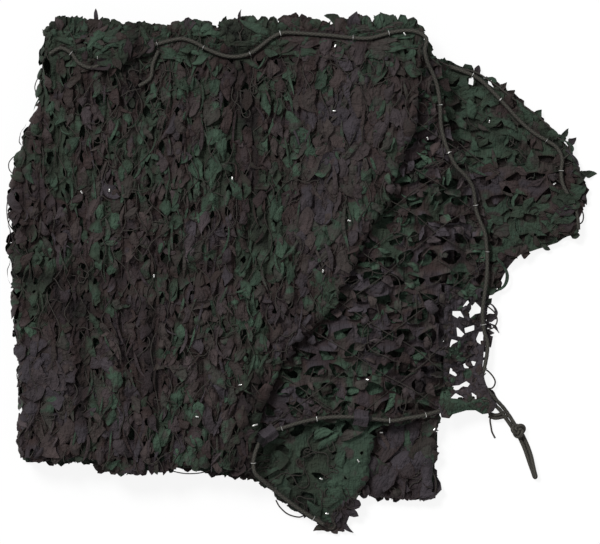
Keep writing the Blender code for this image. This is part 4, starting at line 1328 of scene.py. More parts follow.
def slots_cut(work):
    """A patchwork without the faces in the wing's slots, its points near a rim drawn onto it."""
    x, y = work.points[:, 0], work.points[:, 1]
    depth, step = slot_depth(x, y), 1e-5
    slope_x, slope_y = slot_depth(x + step, y) - depth, slot_depth(x, y + step) - depth
    near = np.where(np.abs(depth) < 0.0020, depth / step, 0)
    work.points[:, :2] -= np.stack([near * slope_x, near * slope_y], axis=-1)
    return work._replace(faces=work.faces[depth[work.faces].mean(axis=1) < 0])


def smooth_panel(x, y):
    """The size of the tongue's holes and the share of its leaves: a fifth over its right half."""
    return 1 - 0.80 * ease(0.158, 0.186, x) * ease(-0.30, -0.33, y)


def on_tongue(x, y, margin):
    """The tongue in front of the pack, and its layer under the flap."""
    across, inside = across_layer("tongue", x, y, 0.003 + margin)
    inside = inside & (x < along(TONGUE_RIGHT, across) + 0.014 + margin)
    return inside & ((y < -0.36) | (x > rolled_edge(y) - 0.03 - margin)) & (x > 0.03 - margin)


def on_corner(x, y, margin):
    """The front corner right of the tongue, and its layer's edge further back."""
    across, inside = across_layer("corner", x, y, 0.003 + margin, front_more(x))
    inside = inside & (x < along(CORNER_RIGHT, across) + 0.014 + margin) & (x < 0.41)
    return inside & (x > np.where(y < -0.25, 0.20, 0.33) - margin)


# The web under the wing is painted darker, at 0.62, as shade in the gaps.
under = web(WING_UNDER, on_wing, 4, 3)
wing_parts = [
    web(WING, on_wing, 6, 4), *open_leaves(WING, on_wing, 61, 1.30, -0.3),
    under._replace(wear=under.wear * 0.62),
]
tongue_parts = [
    web(TONGUE, on_tongue, 6, 4, smooth_panel),
    *open_leaves(TONGUE, on_tongue, 71, 1.60, -0.3, smooth_panel, 0.75),
]
corner_parts = [
    web(CORNER, on_corner, 6, 4), *column_leaves(CORNER, on_corner, 81, 1.55, COLUMN_SETS[:2]),
]
lower = [
    add_cloth("net_wing", [slots_cut(joined(wing_parts))]),
    add_cloth("net_tongue", tongue_parts),
    add_cloth("net_corner", corner_parts),
]
SHOWN = {
    "top": on_top, "flap": on_flap, "tongue": on_tongue, "corner": on_corner, "wing": on_wing,
}

# %% [markdown]
# ## The folded layers inside
#
# Between the top and the floor the cloth runs on, seen only at the pack's edges and through the
# slits. It is the plain folded sheet: a grid over each layer, and a half circle at each fold.

# %% Inner layers
INNER_ROWS, INNER_COLUMNS = 120, 130
TURN = 0.05  # of cloth past a side edge, more than its half circle takes
INNER_STOP = 0.372  # where these layers end at the right


def inner_layers():
    """Grids of the layers under the top, without what shows of them."""
    parts = []
    for name, layer in list(LAYERS.items())[1:]:
        across = np.linspace(0, 1, INNER_ROWS)[:, None]
        left, right = side_edges(layer, across)
        stop = np.minimum(right, INNER_STOP)
        turn_left = TURN if layer.left_to else 0
        turn_right = TURN if layer.right_to else 0
        share = np.linspace(0, 1, INNER_COLUMNS)[None, :]
        x = left - turn_left + share * (stop + turn_right - left + turn_left)
        front, back = cut_edges(layer, x)
        y = front + across * (back - front)
        points = on_fold(name, x, y, 0 * x - 0.001)
        faces = quads(1, INNER_ROWS, INNER_COLUMNS)
        if name in SHOWN:
            faces = faces[~SHOWN[name](x, y, 0).ravel()[faces].all(axis=1)]
        apart = y + layer.level
        # These hidden layers are painted darker: the darker cloth copy, times a painted shade of 0.8.
        parts.append(patchwork(points, faces, x, apart, patch_at(x, apart, -0.12), 0.8))
    return parts


inner = add_piece("net_inner", joined(inner_layers()), shaded_cloth)

# %% [markdown]
# ## Leaves along the edges
#
# All round the pack leaves stick out of the layers' edges, and at the back their tips stand
# well clear of it. They are the same leaves, hinged just inside the edge and heading out.


# %% Edge leaves
def edge_leaves():
    """Leaves along the front and back edge of each layer."""
    random = np.random.default_rng(91)
    parts = []
    for name, layer in LAYERS.items():
        for table, way in ((layer.front, -1), (layer.back, 1)):
            end = 0.0 if way < 0 else 1.0
            x0, x1 = along(PACK_LEFT, end) + layer.inset, along(layer.right, end)
            x = np.arange(x0 + 0.01, x1, 0.010 if layer.level > 4 else 0.016)
            x = x[spread(random, len(x), 0, 1) < 0.8]
            n = len(x)
            x = x + random.normal(0, 0.006, n)
            inset = spread(random, n, 0.014, 0.026)
            leaf = LeafSet(
                x=x,
                y=along(table, x) - way * inset - (front_more(x) if way < 0 else 0),
                heading=way * np.pi / 2 + random.normal(0, 0.75, n),
                length=inset + spread(random, n, -0.006, 0.008),
                width=spread(random, n, 0.004, 0.014),
                **shaped(
                    random, n, pitch=(-0.1, 0.40), bend=(-0.5, 0.15), curl=(0, 0.40),
                    crease=(0, 0.30), twist=(0, 0.60), lift=(-0.001, 0.002), tip=(0.25, 0.9),
                ),
                green=-0.08,
                wear=0.9,
            )
            parts.append(leaves(name, leaf, 92 + layer.level, 8, 5))
    return parts


def side_leaves():
    """Leaves over the folds at the sides: hinged inside the fold, they go round it and stand off."""
    random = np.random.default_rng(95)
    parts = []
    for name, layer in LAYERS.items():
        for to, way in ((layer.left_to, -1), (layer.right_to, 1)):
            if to is None or (name, way) == ("top", -1):
                continue
            across = np.arange(0.02, 0.98, 0.022)
            n = len(across)
            across = across + random.normal(0, 0.006, n)
            edge = along(layer.right, across) if way > 0 else along(PACK_LEFT, across) + layer.inset
            front, back = along(layer.front, edge), along(layer.back, edge)
            leaf = LeafSet(
                x=edge - way * spread(random, n, 0.0, 0.010),
                y=front + across * (back - front),
                heading=(0 if way > 0 else np.pi) + random.normal(0, 0.90, n),
                length=spread(random, n, 0.014, 0.030),
                width=spread(random, n, 0.005, 0.011),
                **shaped(
                    random, n, pitch=(0.0, 0.5), bend=(-0.4, 0.3), curl=(0, 0.40),
                    crease=(0, 0.30), twist=(0, 0.60), lift=(0.0, 0.003), tip=(0.5, 1.0),
                ),
                green=-0.10,
                wear=0.9,
            )
            parts.append(leaves(name, leaf, 120 + layer.level, 8, 5))
    return parts


# How far back the fringe of leaves reaches: a pixel across and a pixel back.
BACK_FRINGE = (
    (44, 28), (54, 27), (58, 15), (72, 15), (84, 19), (108, 17), (118, 22), (149, 22), (163, 26),
    (177, 22), (191, 19), (205, 21), (219, 19), (233, 19), (244, 15), (264, 15), (275, 20),
    (286, 13), (303, 14), (314, 19), (331, 24), (340, 16), (359, 13), (370, 16), (387, 13),
    (404, 14), (411, 22), (418, 28),
)


def back_fringe():
    """Blunt broad leaves from inside the back edge out to the fringe's line."""
    random = np.random.default_rng(97)
    n = 230
    px = spread(random, n, 46, 417)
    x, reach = at_pixel(px, along(BACK_FRINGE, px))
    root = along(PACK_BACK, x) - spread(random, n, 0.006, 0.022)
    leaf = LeafSet(
        x=x,
        y=root,
        heading=np.pi / 2 + random.normal(0, 0.35, n),
        length=(reach - root) * spread(random, n, 0.75, 1.06),
        width=spread(random, n, 0.005, 0.013),
        **shaped(
            random, n, pitch=(-0.1, 0.25), bend=(-0.3, 0.1), curl=(0, 0.30),
            crease=(0, 0.30), twist=(0, 0.30), lift=(-0.002, 0.003), tip=(0.25, 0.60),
        ),
        green=-0.02,
        wear=0.9,
    )
    low = spread(random, n, 0, 1) < 0.4
    return [
        leaves("top", chosen(leaf, ~low), 98, 9, 5), leaves("under", chosen(leaf, low), 99, 9, 5),
    ]


# Single leaves by layer: a pixel, heading in degrees, length, width, and how much greener.
TIPS = {
    "top": (
        (62, 31, 110, 0.028, 0.007, -0.3), (68, 30, 28, 0.030, 0.006, -0.3),
        (98, 31, 92, 0.040, 0.004, -0.3), (244, 31, 112, 0.042, 0.004, -0.3),
        (190, 31, 100, 0.024, 0.012, -0.3), (222, 30, 75, 0.028, 0.009, 0.3),
        (262, 29, 80, 0.026, 0.013, 0.3), (302, 33, 150, 0.036, 0.009, 0.3),
        (337, 33, 103, 0.044, 0.009, 0.3), (362, 33, 128, 0.044, 0.012, -0.3),
        (374, 31, 60, 0.034, 0.010, 0.3), (393, 33, 128, 0.044, 0.011, 0.3),
        (404, 30, 45, 0.032, 0.009, 0.3),
    ),
    "wing": (
        (560, 142, 62, 0.030, 0.005, 0.3), (568, 146, 52, 0.024, 0.006, -0.3),
        (580, 172, -8, 0.032, 0.006, 0.3), (530, 118, 30, 0.026, 0.008, 0.3),
        (566, 232, -15, 0.026, 0.008, -0.3), (475, 75, 60, 0.020, 0.007, -0.3),
        (500, 92, 60, 0.022, 0.006, -0.3), (520, 250, -25, 0.020, 0.009, -0.3),
    ),
    "tongue": (
        (342, 514, -72, 0.042, 0.0055, -0.3), (344, 506, 15, 0.030, 0.0085, -0.3),
        (345, 510, -25, 0.026, 0.007, -0.3), (342, 508, 100, 0.022, 0.007, -0.3),
        (340, 510, 165, 0.024, 0.008, -0.3), (341, 512, -125, 0.026, 0.007, -0.3),
        (343, 504, 60, 0.020, 0.006, -0.3),
    ),
    "flap": (
        (484, 316, -10, 0.024, 0.008, -0.3), (484, 328, -40, 0.022, 0.006, -0.3),
        (484, 304, 30, 0.018, 0.006, 0.3), (480, 350, 20, 0.016, 0.006, -0.3),
    ),
}
# Leaves that lie over the rope where the photograph does not show it.
COVERS = {
    "top": (
        (92, 70, 20, 0.046, 0.011, -0.3), (100, 56, -40, 0.040, 0.010, 0.3),
        (108, 72, 60, 0.040, 0.009, -0.3), (112, 50, -60, 0.044, 0.009, -0.3),
        (122, 66, 80, 0.042, 0.010, 0.3), (128, 40, -80, 0.040, 0.008, -0.3),
        (133, 60, 50, 0.044, 0.010, -0.3), (142, 38, -100, 0.042, 0.009, -0.3),
        (146, 58, 100, 0.038, 0.008, 0.3), (154, 40, -120, 0.036, 0.008, -0.3),
    ),
    "wing": (
        (556, 198, 0, 0.038, 0.010, 0.3), (556, 210, -10, 0.036, 0.011, -0.3),
        (557, 222, 15, 0.034, 0.010, 0.3), (580, 204, 190, 0.034, 0.009, 0.3),
        (558, 230, 20, 0.032, 0.009, -0.3),
    ),
}


def tip_leaves(table, lift, seed, over_rope=False):
    """Single leaves, each at its own place and heading, hinged inside the cloth's edge."""
    parts = []
    for i, (name, tips) in enumerate(sorted(table.items())):
        px, py, heading, length, width, green = np.array(tips).T
        x, y = at_pixel(px, py)
        layer = LAYERS[name]
        y = np.clip(y, along(layer.front, x) + 0.005, along(layer.back, x) - 0.005)
        x = np.minimum(x, along(layer.right, 0.5) - 0.005) if name == "wing" else x
        leaf = LeafSet(
            x, y, np.radians(heading), length, width, pitch=0.25, bend=-0.1, curl=0.3, crease=0.2,
            twist=0.3, lift=lift, tip=0.95, green=green, wear=0.95,
        )
        parts.append(leaves(name, leaf, seed + i, over_rope=over_rope))
    return parts


edge_work = [
    *edge_leaves(), *side_leaves(), *back_fringe(),
    *tip_leaves(TIPS, 0.002, 160), *tip_leaves(COVERS, 0.0115, 170, True),
]
edges = add_cloth("net_edge_leaves", edge_work)

# %% [markdown]
# ## The ropes
#
# A rope is a tube carried along its route. Its height is read from the cloth's solid under it,
# smoothed so that it bridges small hollows. The tube's side vector stays level, and its UV map
# counts turns round it and metres along it.


# %% Tubes
def tubes(paths, radius, sides, closed=False):
    """Tubes round many paths at once: paths is count by points by 3.

    The side vector is level, at right angles to the run, and the up vector completes the frame.
    Each ring's point is the radius times cos of its angle to the side plus sin of it up.
    """
    paths = np.asarray(paths, float)
    run = np.roll(paths, -1, 1) - np.roll(paths, 1, 1) if closed else np.gradient(paths, axis=1)
    side = unit(np.cross(run, (0.0, 0.0, 1.0)))
    up = unit(np.cross(side, run))
    around = np.linspace(0, 1, sides + 1)
    angle = 2 * np.pi * around[:, None]
    radius = np.broadcast_to(radius, paths.shape[:2])[..., None, None]
    ring = np.cos(angle) * side[:, :, None] + np.sin(angle) * up[:, :, None]
    points = paths[:, :, None] + radius * ring
    length = np.linalg.norm(np.diff(paths, axis=1), axis=-1)
    run_length = np.pad(np.cumsum(length, axis=1), ((0, 0), (1, 0)))
    if closed:
        points = np.concatenate([points, points[:, :1]], axis=1)
        run_length = np.concatenate([run_length, run_length[:, -1:] + length[:, :1]], axis=1)
    faces = quads(len(paths), points.shape[1], sides + 1)[:, ::-1]
    # Painted light: each tube is lighter on its top, falling to 0.2 at its sides and underneath.
    lit_from_above = 0.20 + 0.88 * np.clip(np.sin(angle[:, 0]), 0, 1)
    return patchwork(points, faces, around, run_length[..., None], 0.0, lit_from_above)


def capped(path, radius):
    """The path with a dome at each end: the radius falls to nothing over a third of itself."""
    path = np.asarray(path, float)
    radius = np.broadcast_to(radius, len(path)).astype(float)
    reach = np.array((0.35, 0.30, 0.18))[:, None]
    first = path[0] + unit(path[0] - path[1]) * reach * radius[0]
    last = path[-1] + unit(path[-1] - path[-2]) * reach[::-1] * radius[-1]
    shrink = np.array((0.02, 0.45, 0.85))
    wide = [shrink * radius[0], radius, shrink[::-1] * radius[-1]]
    return np.vstack([first, path, last])[None], np.concatenate(wide)


cloth_tree = BVHTree.FromPolygons(
    [v.co.copy() for v in nodes["net_cloth"].data.vertices],
    [tuple(p.vertices) for p in nodes["net_cloth"].data.polygons],
)


def ground(x, y, reach):
    """The cloth solid's top within reach of a point, or the floor."""
    best, places = 0.0, [(0, 0)]
    for turn in np.arange(8) * math.pi / 4:
        places += [(r * math.cos(turn), r * math.sin(turn)) for r in (reach / 2, reach)]
    for dx, dy in places:
        hit = cloth_tree.ray_cast(Vector((x + dx, y + dy, 0.4)), Vector((0, 0, -1)))[0]
        best = max(best, hit.z if hit else 0.0)
    return best


def lie_on(route):
    """The route with its height: the highest cloth near each point, smoothed, plus the radius."""
    flat = smooth_route([(x, y, 0.0) for x, y in route], ROPE_STEP)
    low = np.array([ground(x, y, ROPE_D / 2 + 0.0022) for x, y, _ in flat])
    padded = np.pad(low, 1, mode="edge")
    crest = np.maximum(np.maximum(padded[:-2], padded[1:-1]), padded[2:])
    padded = np.pad(crest, 1, mode="edge")
    calm = np.maximum((padded[:-2] + 2 * padded[1:-1] + padded[2:]) / 4, low)
    flat[:, 2] = calm + ROPE_D / 2 + CLEAR
    return flat


# %% Edge ropes
ROPE_SIDES = 12

for rope_name, route in ROUTES.items():
    line = smooth_route(lie_on(route), 0.0022)
    bulge = ROPE_D / 2 * (1 + 0.03 * np.sin(np.arange(len(line)) * 1.3))
    work = tubes(*capped(line, bulge), ROPE_SIDES)
    piece = add_piece(rope_name + "_braid", work, rope_braid)
    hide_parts(rope_name)

# %% [markdown]
# ## The open strip
#
# Beside the pack the flap is stretched so far that more of it is hole than cloth, and its hem
# wraps the rope. It is a fine grid over the strip's outline. Points near a rim are drawn onto
# it, the faces in the holes are left out, and over the wrapped ropes the sheet rises to cover
# them. Short leaves lie on the strands.

# %% Strip
STRIP_STEP = 0.0012
STRIP_ROPE = (438, 357, 492, 414)  # where the strip wraps the ropes
# A pixel, and a reach in pixels.
GREEN_SPOTS = (
    (452, 352, 7), (467, 374, 5), (456, 407, 12), (478, 406, 12), (442, 396, 7), (465, 293, 5),
)


def strip_depth(x, y):
    """The distance to the strip's nearest rim, positive in the cloth."""
    holes = np.max([depth_in(hole, x, y) for hole in STRIP_HOLES], axis=0)
    return np.minimum(depth_in(STRIP_EDGE, x, y), -holes)


def strip_green(x, y):
    """A high number in the strip's few green places, and a low one elsewhere."""
    total = 0 * x
    for px, py, reach in GREEN_SPOTS:
        at_x, at_y = at_pixel(px, py)
        total = total + np.exp(-((np.hypot(x - at_x, y - at_y) / (reach * PIXEL)) ** 4))
    return 0.25 * noise(x, y, 0.012, 41) + 0.60 * np.clip(total, 0, 1)


def over_ropes(x, y, z):
    """Raises z over the wrapped ropes: to their top 1.5 mm to each side, and down at one to two."""
    line = np.vstack([smooth_route(lie_on(route), 0.003) for route in (BACK_ROUTE, FRONT_ROUTE)])
    line = line[in_box(line, STRIP_ROPE)]
    away = np.hypot(x[..., None] - line[:, 0], y[..., None] - line[:, 1])
    top = line[:, 2] + 0.0044 - 0.5 * np.maximum(away - 0.0015, 0)
    return np.maximum(z, top.max(axis=-1))


def pierced_strip():
    """The grid with its holes, curled along the rims, with an uneven tone, and darker and redder
    towards the rims as painted shade.
    """
    (x0, y1), (x1, y0) = at_pixel(437, 282), at_pixel(499, 420)
    x, y = np.meshgrid(np.arange(x0, x1, STRIP_STEP), np.arange(y0, y1, STRIP_STEP))
    depth = strip_depth(x, y)
    down, across = np.gradient(depth, STRIP_STEP)
    near = np.abs(depth) < 0.9 * STRIP_STEP
    x, y = x - np.where(near, depth * across, 0), y - np.where(near, depth * down, 0)
    curl = np.exp(-np.maximum(depth, 0) / 0.0022)
    lift = 0.0045 * noise(x, y, 0.011, 42) - 0.002
    lift = lift + 0.0060 * curl * (noise(x, y, 0.016, 43) - 0.35)
    lift = np.minimum(lift, most_lift(x, y) - UNDER_ROPE)
    points = on_fold("flap", x, y, lift)
    points[..., 2] = over_ropes(x, y, points[..., 2]) + 0.0012 * noise(x, y, 0.007, 44)
    faces = quads(1, *x.shape)
    faces = faces[depth.ravel()[faces].mean(axis=1) > 0]
    wear = (0.62 + 0.40 * noise(x, y, 0.009, 45)) * (1 - 0.35 * curl) + 0.20
    return patchwork(points, faces, x, y, strip_green(x, y), wear)


def strip_leaves(count, seed):
    """Short leaves on the strands: kept where root, middle and tip lie on cloth."""
    random = np.random.default_rng(seed)
    x, y = at_pixel(spread(random, count, 440, 492), spread(random, count, 286, 414))
    heading, length = spread(random, count, 0, 2 * np.pi), spread(random, count, 0.010, 0.020)
    on_cloth = [
        strip_depth(x + share * length * np.cos(heading), y + share * length * np.sin(heading)) > 0.0012
        for share in (0, 0.35, 0.7, 1.0)
    ]
    kept = np.all(on_cloth, axis=0)
    n = int(kept.sum())
    leaf = LeafSet(
        x[kept], y[kept], heading[kept], length[kept], width=spread(random, n, 0.0025, 0.0055),
        **shaped(
            random, n, pitch=(0.1, 0.6), bend=(-0.4, 0.1), curl=(0, 0.5),
            crease=(0, 0.4), twist=(0, 0.6), lift=(0.001, 0.004), tip=(0.5, 1.1),
        ),
        green=0.9 * strip_green(x[kept], y[kept]) - 0.25,
        wear=1.0,
    )
    work = leaves("flap", leaf, seed, 8, 5)
    height = over_ropes(work.points[:, 0], work.points[:, 1], work.points[:, 2] - 0.002) + 0.002
    work.points[:, 2] = np.maximum(work.points[:, 2], height)
    return work


strip = add_cloth("net_strip", [pierced_strip(), strip_leaves(420, 46)])

# %% [markdown]
# ## The knot and its tail
#
# Outside the corner the two ropes are tied together in an overhand knot, and the doubled end
# lies on the floor as a loop. The knot is a three-lobed closed curve of two strands, drawn tight.

# %% Knot and tail
KNOT_AT = np.array((0.522, -0.3135, 0.0110))
TAIL_ROUTE = (
    (0.5265, -0.3225), (0.529, -0.3275), (0.536, -0.343), (0.542, -0.360), (0.547, -0.378),
    (0.552, -0.395),
)
KNOT_STRAND = 0.0034


def knot_paths(count=150):
    """Two strands side by side along a trefoil: x = sin t + 2 sin 2t, y = cos t - 2 cos 2t.

    The height is -sin 3t. Each strand lies its own radius to a side of the middle line.
    """
    t = np.linspace(0, 2 * np.pi, count, endpoint=False) + 0.5
    x = (np.sin(t) + 2 * np.sin(2 * t)) * 0.0027
    y = (np.cos(t) - 2 * np.cos(2 * t)) * 0.0027
    line = np.stack([x, y, -np.sin(3 * t) * 0.0050], axis=-1)
    run = np.roll(line, -1, 0) - np.roll(line, 1, 0)
    side = 0.95 * KNOT_STRAND * unit(np.cross(run, (0.0, 0.0, 1.0)))
    return np.stack([line - side, line + side]) + KNOT_AT


def tail_path():
    """Out along one side of the tail's middle line, round its tip, and back along the other.

    Towards the tip the pair turns on edge, by up to 65 degrees, so one strand climbs on the other.
    """
    middle = smooth_route([(x, y, 0.0) for x, y in TAIL_ROUTE], 0.002)
    run, half = unit(np.gradient(middle, axis=0)), ROPE_D / 2
    edge = np.radians(65) * ease(0.30, 1.0, np.linspace(0, 1, len(middle)))
    side = np.stack([-run[:, 1] * np.cos(edge), run[:, 0] * np.cos(edge), np.sin(edge)], axis=-1)
    middle[:, 2] = ROPE_D / 2 + half * np.sin(edge)
    turn = np.linspace(np.pi / 2, -np.pi / 2, 8)[:, None]
    tip = middle[-1] + half * (np.sin(turn) * side[-1] + np.cos(turn) * run[-1])
    return np.vstack([middle[:-1] + side[:-1] * half, tip, (middle[:-1] - side[:-1] * half)[::-1]])


knot_work = tubes(knot_paths(), KNOT_STRAND, ROPE_SIDES, True)
knot = add_piece("corner_knot_turns", knot_work, rope_braid)
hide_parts("corner_knot")
tail_line = tail_path()
tail_work = tubes(*capped(tail_line, ROPE_D / 2), ROPE_SIDES)
tail = add_piece("corner_tail_braid", tail_work, rope_braid)
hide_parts("corner_tail")

# %% [markdown]
# ## The cord mesh
#
# The cloth is stitched and clipped to a mesh of thin cords. In the pack its diamonds are
# squeezed to upright zigzags, and loose loops lie over the leaves. On the open flap the cords
# run straight from knot to knot. All cords of one part have the same number of points, so they
# are worked out in one array, and the rings outside the part's outline are left out.

# %% Thin cords
CORD_D = 0.0019
CORD_SIDES = 5
SMALL_SIDES = 8  # of the loops and clips
CORD_REACH = 0.66  # how far right the straight cords are drawn before they are cut


def cord_work(layer, x, y, lift):
    """Cords through plan points, count by points, at a lift over the layer."""
    lift = np.minimum(lift, most_lift(x, y) + 0.001)
    work = tubes(on_fold(layer, x, y, lift), CORD_D / 2, CORD_SIDES)
    keep = SHOWN[layer](x, y, -0.012 if layer == "wing" else -0.004)
    keep = np.repeat(keep.ravel(), CORD_SIDES + 1)
    return work._replace(faces=work.faces[keep[work.faces].all(axis=1)])


def squeezed_cords():
    """Upright waves on the pack: x swings by 8 mm each 90 mm, and the lift comes and goes."""
    random = np.random.default_rng(101)
    start = np.arange(-0.39, 0.36, 0.0290)[:, None]
    y = np.linspace(-0.40, 0.42, 260)[None, :] + 0 * start
    phase = np.pi * (np.arange(len(start)) % 2)[:, None] + 0.5 * random.normal(size=(len(start), 1))
    x = start + 0.0085 * np.sin(2 * np.pi * y / 0.088 + phase) + 0.040 * (
        noise(start + 0 * y, y, 0.05, 31) - 0.5
    )
    x, y = warp(x, y)
    lift = 0.0140 * noise(x, y, 0.030, 33) - 0.0030
    return cord_work("top", x, y, lift)


def slack_cords(layer, count, box, seed, low=0.002, high=0.0095, swing=1.6):
    """Loose lengths: the heading is a sum of two slow waves, so the cord wanders and loops."""
    random = np.random.default_rng(seed)
    run = np.linspace(0, 1, 90)[None, :]
    wave = random.uniform(0, 2 * np.pi, (5, count, 1))
    speed = spread(random, (count, 1), 0.5, 2.0)
    heading = wave[0] + swing * np.sin(2 * np.pi * run * speed + wave[1])
    heading = heading + 0.5 * swing * np.sin(6 * np.pi * run * speed + wave[2])
    step = spread(random, (count, 1), 0.08, 0.22) / 90
    x = spread(random, (count, 1), *box[:2]) + np.cumsum(np.cos(heading) * step, 1)
    y = spread(random, (count, 1), *box[2:]) + np.cumsum(np.sin(heading) * step, 1)
    lift = low + (high - low) * np.sin(np.pi * run) ** 0.4 * (0.55 + 0.45 * np.sin(9 * run + wave[3]))
    return cord_work(layer, x, y, lift + 0 * x)


def straight_cords(layer, slope, spacing, seed):
    """Cords at a slope in degrees, a spacing apart, that bend a little at each crossing."""
    random = np.random.default_rng(seed)
    run = np.linspace(0, 1.0, 240)[None, :]
    offset = np.arange(-1.2, 1.2, spacing)[:, None]
    offset = offset + random.normal(0, 0.12 * spacing, offset.shape)
    x = CORD_REACH * run + 0 * offset
    bend = 0.010 * (noise(x, offset * 7, 0.055, seed) - 0.5)
    y = offset + math.tan(math.radians(slope)) * x + bend
    lift = 0.0140 * noise(x, y, 0.06, seed + 1) - 0.0020
    return cord_work(layer, x, y, lift)


# A radius in millimetres, and points: pixel, pixel and millimetres of height.
LOOPS = (
    (0.9, ((43, 74, 50), (38, 81, 52), (36, 89, 53), (39, 97, 52), (44, 101, 50))),
    (0.9, ((18, 155, 48), (13, 159, 50), (10, 164, 51), (11, 171, 50), (18, 177, 48))),
    (0.9, ((14, 186, 44), (9, 200, 47), (8, 212, 47), (10, 224, 46), (16, 231, 44))),
    (1.0, ((156, 463, 44), (172, 470, 42), (188, 473, 38), (206, 471, 38), (224, 462, 44))),
    (1.3, ((276, 500, 14), (280, 507, 9), (288, 514, 6), (299, 517, 5), (306, 514, 12))),
    (1.8, (
        (312, 505, 16), (318, 516, 15), (324, 525, 12), (331, 529, 9), (335, 526, 10),
        (333, 520, 13),
    )),
    (1.2, ((426, 463, 24), (433, 473, 20), (436, 485, 18), (432, 498, 16), (425, 497, 14))),
    (1.4, ((479, 366, 8), (489, 372, 8), (495, 381, 7), (492, 388, 6), (483, 388, 7))),
    (1.6, ((491, 413, 8), (490, 420, 6), (491, 427, 3), (492, 432, 2.5), (495, 438, 2))),
    (3.3, ((507, 416, 6), (502, 417, 7), (495, 418, 6), (489, 416, 5))),
    (3.2, ((505, 412, 8), (500, 414, 9), (495, 415, 8), (489, 413, 6))),
    (3.0, ((488, 404, 10), (489, 409, 9), (490, 414, 8), (492, 418, 5))),
    (1.3, ((487, 306, 10), (494, 312, 13), (497, 320, 12), (494, 327, 9), (487, 330, 8))),
    (1.2, ((575, 226, 6), (582, 222, 7), (583, 214, 8), (579, 208, 8), (572, 206, 8))),
    (1.5, (
        (428, 55, 40), (448, 66, 18), (474, 72, 15), (494, 84, 14), (512, 98, 13), (532, 112, 12),
        (548, 126, 12), (558, 138, 12), (566, 142, 12), (570, 152, 12), (562, 160, 12),
    )),
)
# Half a width in millimetres, the patch number, and points of the same kind.
STRAPS = (
    (4.5, 0.9, (
        (494, 256, 11), (502, 264, 14), (507, 275, 14), (504, 286, 11), (494, 292, 9),
        (486, 296, 12),
    )),
    (3.5, 0.1, ((484, 303, 11), (492, 305, 15), (496, 313, 13), (491, 321, 9), (484, 321, 10))),
    (3.0, 0.1, ((486, 322, 10), (494, 326, 10), (499, 333, 5))),
    (2.5, 0.1, ((478, 369, 16), (482, 370, 15), (487, 368, 13))),
    (4.0, 0.1, ((566, 150, 13), (574, 158, 14), (577, 166, 12), (571, 172, 12))),
    (3.5, 0.9, ((560, 140, 12), (568, 143, 16), (572, 150, 12), (564, 158, 12))),
)
# Middle, length, width and height of the crest.
TAB_STRIPS = ((0.071, -0.321, 0.036, 0.026, 0.0090), (0.239, -0.290, 0.026, 0.029, 0.0085))


def tab_strips():
    """Strips laid over the front rope: their crest is a bell over it, 6 mm to each side."""
    line = smooth_route(lie_on(FRONT_ROUTE), 0.002)
    run = np.gradient(line, axis=0)
    parts = []
    for at_x, at_y, long, wide, high in TAB_STRIPS:
        near = np.argmin(np.hypot(line[:, 0] - at_x, line[:, 1] - at_y))
        ahead = unit(run[near, :2])
        u, v = np.meshgrid(np.linspace(-0.5, 0.5, 13), np.linspace(-0.5, 0.5, 9))
        u, v = u * wide, v * long
        crest = np.exp(-((u / 0.006) ** 2))
        x = at_x + v * ahead[0] - u * ahead[1] + 0.0010 * np.sin(260 * u + 1)
        y = at_y + v * ahead[1] + u * ahead[0] + 0.0010 * np.sin(230 * v)
        z = line[near, 2] - 0.0015 + high * crest + 0.0012 * noise(x, y, 0.006, 18)
        points = np.stack([x, y, z], axis=-1)
        # Painted light: the crest over the rope is lighter than the strip's sides.
        parts.append(patchwork(points, quads(1, *u.shape), v, u, 0.1, 0.75 + 0.35 * crest))
    return parts


def through(points, step):
    """A smooth line through pixel, pixel and millimetres of height."""
    px, py, height = np.array(points, float).T
    return smooth_route(np.stack([*at_pixel(px, py), height / 1000], axis=-1), step)


def edge_loops():
    """Loops and ends of cord that stand out of the outline."""
    return [
        tubes(*capped(through(points, 0.0015), radius / 1000), SMALL_SIDES)
        for radius, points in LOOPS
    ]


def edge_straps():
    """Narrow strips of cloth that stand out of it: five points across, cupped by a fifth."""
    parts = []
    for wide, patch, route in STRAPS:
        line = through(route, 0.002)
        v = np.linspace(0, 1, len(line))[:, None]
        u = np.linspace(-1, 1, 5)[None, :]
        side = unit(np.cross(np.gradient(line, axis=0), (0.0, 0.0, 1.0)))
        half = wide / 1000 * (0.75 + 0.25 * np.sin(9 * v + wide)) * np.minimum(1, 6 * (1.08 - v))
        turn = 0.9 * np.sin(5 * v)
        points = line[:, None] + (half * u * np.cos(turn))[..., None] * side[:, None]
        points[..., 2] = np.maximum(points[..., 2] + half * (u * np.sin(turn) + 0.2 * u**2), 0.0008)
        faces = quads(1, len(line), 5)[:, ::-1]
        # Painted shade: each strap is darker towards its edges.
        parts.append(patchwork(points, faces, half * u, 0.08 * v, patch, 0.95 - 0.35 * u**4))
    return parts


cord_parts = [
    *edge_loops(),
    squeezed_cords(),
    slack_cords("top", 44, (-0.36, 0.26, -0.36, 0.38), 111, low=-0.001),
    slack_cords("top", 18, (-0.30, 0.34, 0.28, 0.39), 112),
    straight_cords("flap", -32, 0.105, 121),
    straight_cords("flap", 38, 0.105, 122),
    slack_cords("flap", 34, (0.12, 0.44, -0.28, 0.34), 123, swing=0.8),
    straight_cords("wing", -40, 0.11, 131),
    slack_cords("wing", 22, (0.40, 0.60, 0.0, 0.30), 132, high=0.006, swing=0.9),
    slack_cords("tongue", 16, (0.06, 0.24, -0.47, -0.34), 141, high=0.006),
    slack_cords("corner", 8, (0.26, 0.37, -0.42, -0.32), 142, high=0.004),
]
add_piece("net_cords", joined(cord_parts), cord_braid)
straps = add_cloth("net_straps", [*edge_straps(), *tab_strips()])

# %% [markdown]
# ## Small parts
#
# The clips and the two cloth tabs have their right shape already and only need their finish.
# The mesh has more clips of its own, small crimped barrels over the cords' crossings.

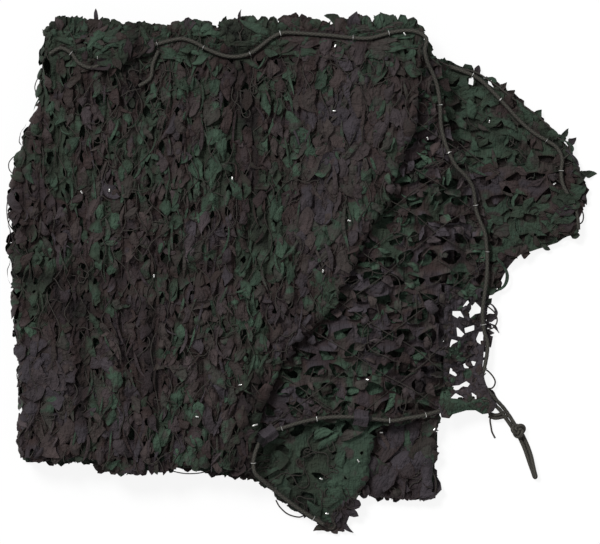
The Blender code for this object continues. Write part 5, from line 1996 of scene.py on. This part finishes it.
# %% Clips and tabs
WEB_CLIPS = (
    (99, 59), (335, 47.5), (404, 35.5), (83, 192.7), (110.7, 191), (232.7, 179), (334, 112),
    (349, 221), (322.7, 271), (155, 276), (240.7, 384), (198, 415.7), (427, 139), (489, 121.7),
    (554, 184), (367, 379), (358, 460), (321, 478), (327, 513), (381, 432), (434, 429), (254, 424),
)


def shown_layer(x, y):
    """The first layer from above that reaches over a point, or else the wing."""
    for name, inside in SHOWN.items():
        if inside(np.array([x]), np.array([y]), -0.004)[0]:
            return name
    return "wing"


def web_clips():
    """Barrels 5 mm long over the cloth, turned at random."""
    random = np.random.default_rng(151)
    parts = []
    for px, py in WEB_CLIPS:
        x, y = at_pixel(px, py)
        turn = random.uniform(0, np.pi)
        at = np.linspace(-0.0026, 0.0026, 5)
        x, y = x + at * math.cos(turn), y + at * math.sin(turn)
        path = on_fold(shown_layer(x[2], y[2]), x, y, np.full(5, 0.0098))
        parts.append(tubes(*capped(path, 0.0016), SMALL_SIDES))
    return joined(parts)


add_piece("net_clips", web_clips(), clip_steel)
tab_cloth = cloth_material("hem_tab_cloth", 1.1)
for name, made in nodes.items():
    if name.startswith("clip_"):
        made.material_slots[0].material = clip_steel
    if name.startswith("hem_tab"):
        made.material_slots[0].material = tab_cloth

# %% [markdown]
# ## The floor

# %% Floor
bpy.ops.mesh.primitive_plane_add(size=30, location=(0.13, 0, -0.0005))
floor = bpy.context.object
floor.name = "floor"
floor_paint = new_material("floor_paint", 0.9)
glow = floor_paint.node_tree.nodes["Principled BSDF"]
glow.inputs["Emission Color"].default_value = (1, 1, 1, 1)
glow.inputs["Emission Strength"].default_value = FLOOR_GLOW
floor_place = node(floor_paint, "TexCoord").outputs["Object"]
floor_noise = grain(floor_paint, floor_place, 2.0, 2.0)
floor_greys = [(0.0, (0.095, 0.095, 0.095)), (1.0, (0.100, 0.100, 0.100))]
floor_colour = ramp(floor_paint, floor_noise, floor_greys)
finish_material(floor_paint, floor_colour, floor_noise, 0.0001)
floor.data.materials.append(floor_paint)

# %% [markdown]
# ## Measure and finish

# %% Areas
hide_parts("net_cloth")
sheets = (top_web, top_leaf, top_small, flap_web, flap_leaf, strip, inner, edges, straps, *lower)
for made in sheets:
    area = mesh_area(made)
    print(made.name, "area", round(area, 3))
